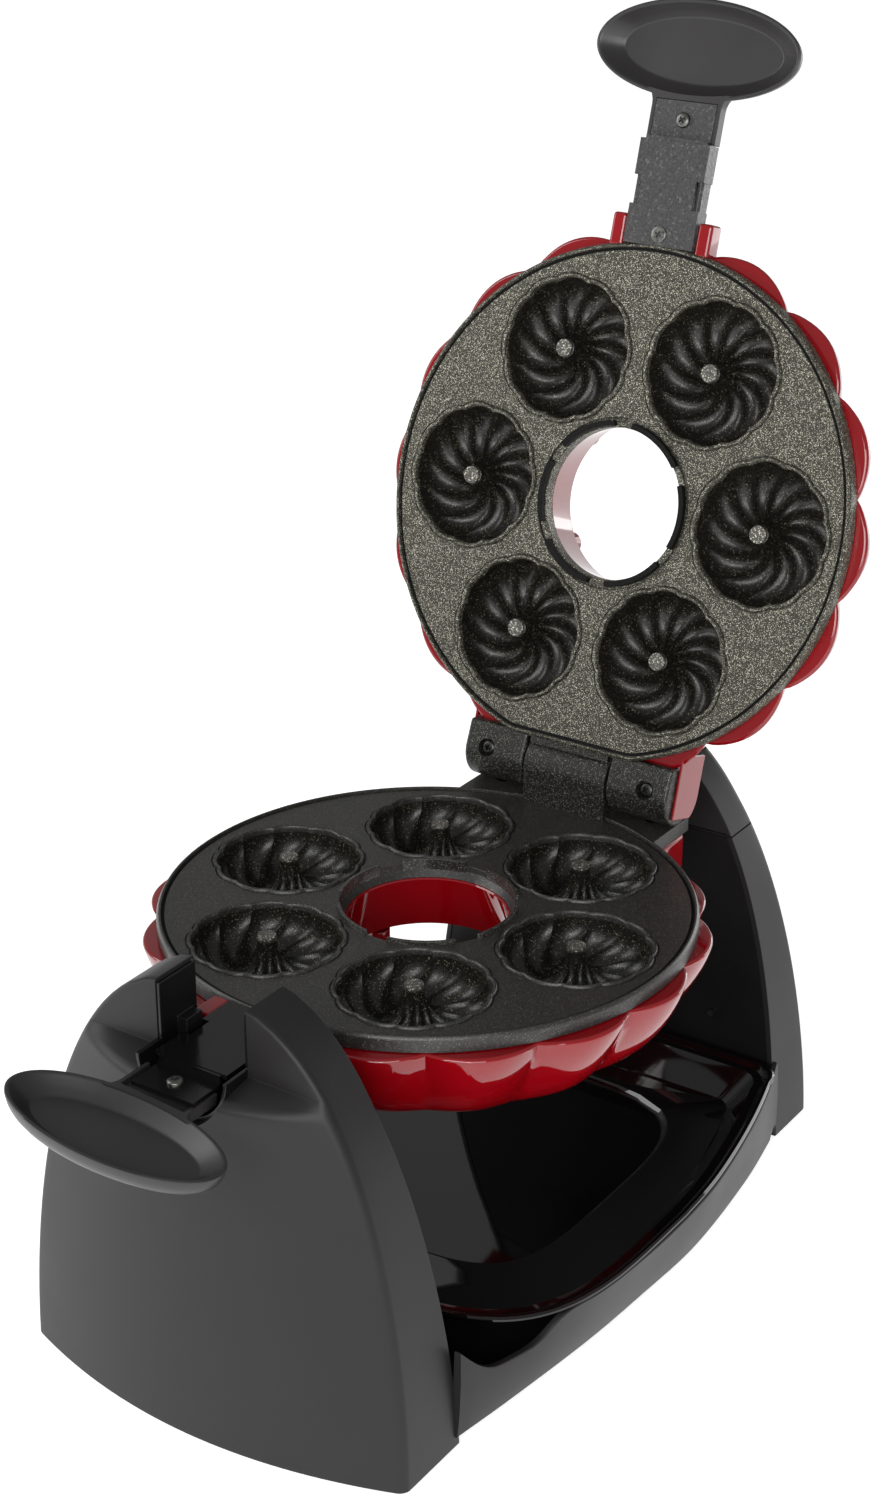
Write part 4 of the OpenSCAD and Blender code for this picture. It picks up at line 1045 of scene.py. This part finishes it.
def trayLine():
    right = [superPoint(121.5, 121, 4, 4, math.radians(-90 + 90 * n / 40)) for n in range(41)]
    right = [(x, y + 17) for x, y in right]
    right += [(alongCurve(rail["top"], y) - 0.4, y) for y in [17 + 3.8 * n for n in range(1, 31)]]
    endX = right[-1][0]
    corner = [math.radians(a) for a in (15, 30, 45, 60, 75, 90)]
    right += [(endX - 12 + 12 * math.cos(a), 131 + 14 * math.sin(a)) for a in corner]
    right += [(endX * share, 145) for share in (0.6, 0.4, 0.2)]
    return right + [(0, 145)] + [(-x, y) for x, y in right[:0:-1]]


def makeTray():
    line = trayLine()

    def inset(d, z):
        return [(x * (1 - d / 120), (y - 20) * (1 - d / 124) + 20, z) for x, y in line]

    def step(halfW, halfD, middle, z):
        ring = []
        for x, y in line:
            a = math.atan2((y - middle) / 107, x / 120)
            c, s = abs(math.cos(a)), abs(math.sin(a))
            reach = ((c / halfW) ** 4 + (s / halfD) ** 4) ** -0.25
            ring.append((reach * math.cos(a), middle + reach * math.sin(a), z))
        return ring

    wall = ((70, 19.2), (28, 19.2), (26, 20.5), (10, 40), (8, 42.6), (1.2, 42.6), (0, 43.3), (0, 44.2),
            (0.7, 45), (1.7, 45), (2.8, 44.6), (4.5, 42.8), (8.5, 38), (13, 33.4), (19, 29.6))
    floorSteps = ((84, 94, 32, 26.2), (77, 87, 36, 24.8), (73.5, 83.5, 38, 24.3), (72, 82, 38, 23.9),
                  (71.2, 81.2, 38, 22.6), (70.4, 80.4, 38, 21.6), (69, 79, 38, 21.2), (40, 46, 38, 21.0))
    rings = [inset(d, z) for d, z in wall] + [step(*level) for level in floorSteps]
    return loft("dripTray", rings, True, True)


settle(makeTray(), onTable, trayGloss, "tray", ["drip_tray"], 40)
print("tray and rails done")

# ---- carried-over nodes ----
carried = {"rear_bush": bushBrass, "bush_nut": zincSteel, "front_base_plate": linerSatin,
           "rear_base_plate": linerSatin, "rubber_feet": footRubber, "base_screws": zincSteel,
           "liner_screws": darkScrew, "cord_gland": footRubber, "terminal_block": creamCeramic,
           "lower_element": elementSteel, "upper_element": elementSteel, "lower_element_straps": zincSteel,
           "upper_element_straps": zincSteel, "lower_heat_shield": brightSheet,
           "upper_heat_shield": brightSheet, "thermostat": creamCeramic, "thermal_fuse": creamCeramic,
           "pivot_arm": elementSteel, "pivot_ring": zincSteel, "hinge_pin": zincSteel,
           "hinge_pin_clips": zincSteel, "hinge_bushes": bushBrass}
for nodeName, finish in carried.items():
    node = frame["nodes"][nodeName]
    node.data.materials.clear()
    node.data.materials.append(finish)
    pickOnly(node)
    bpy.ops.object.shade_smooth_by_angle(angle=math.radians(30))

# ---- floor, light and camera ----
studio = {"sky": 0.32, "lens": 63.96, "sensor": 36, "eye": (0.56922, -0.831746, 0.691429),
          "heading": 34.191, "down": 24.29, "roll": -0.183}
floorGlow = {"Roughness": 0.6, "Emission Color": (1, 1, 1, 1), "Emission Strength": 0.75}
floorFinish, floorTree, floorShader, floorSpot = startFinish("floorPaper", floorGlow)
floorPaper = addRamp(floorTree, addNoise(floorTree, floorSpot, 3), [(0.3, (0.80,) * 3), (0.7, (0.84,) * 3)])
floorTree.links.new(floorPaper, floorShader.inputs["Base Color"])
bpy.ops.object.select_all(action="DESELECT")
bpy.ops.mesh.primitive_plane_add(size=80, location=(0, 0, 0))
floor = named("floor")
floor.data.materials.append(floorFinish)

world = bpy.data.worlds.new("studio")
bpy.context.scene.world = world
world.use_nodes = True
world.node_tree.nodes["Background"].inputs["Color"].default_value = (1.0, 1.0, 1.0, 1)
world.node_tree.nodes["Background"].inputs["Strength"].default_value = studio["sky"]


def softbox(name, location, target, size, power):
    light = bpy.data.lights.new(name, "AREA")
    light.shape = "RECTANGLE"
    light.size, light.size_y = size
    light.energy = power
    lamp = bpy.data.objects.new(name, light)
    bpy.context.scene.collection.objects.link(lamp)
    lamp.location = location
    lamp.visible_camera = False
    lamp.rotation_euler = (Vector(target) - Vector(location)).to_track_quat("-Z", "Y").to_euler()
    return lamp


softbox("leftBox", (-1.7, -0.9, 1.1), (0, 0, 0.15), (1.0, 1.3), 14)
softbox("rightBox", (1.5, -1.6, 0.9), (0, 0, 0.1), (0.9, 1.3), 12)
softbox("frontBox", (0.6, -2.1, 1.1), (0, 0, 0.2), (1.5, 0.9), 26)
softbox("backBox", (0.6, 1.8, 0.3), (0, 0.1, 0.35), (1.2, 0.6), 6)

cameraData = bpy.data.cameras.new("camera")
camera = bpy.data.objects.new("camera", cameraData)
bpy.context.scene.collection.objects.link(camera)
cameraData.lens = studio["lens"]
cameraData.sensor_width = studio["sensor"]
cameraData.clip_end = 50
camera.matrix_world = (Matrix.Translation(studio["eye"])
                       @ Matrix.Rotation(math.radians(studio["heading"]), 4, "Z")
                       @ Matrix.Rotation(math.radians(90 - studio["down"]), 4, "X")
                       @ Matrix.Rotation(math.radians(studio["roll"]), 4, "Z"))
bpy.context.scene.camera = camera
bpy.context.scene.view_settings.view_transform = "Standard"
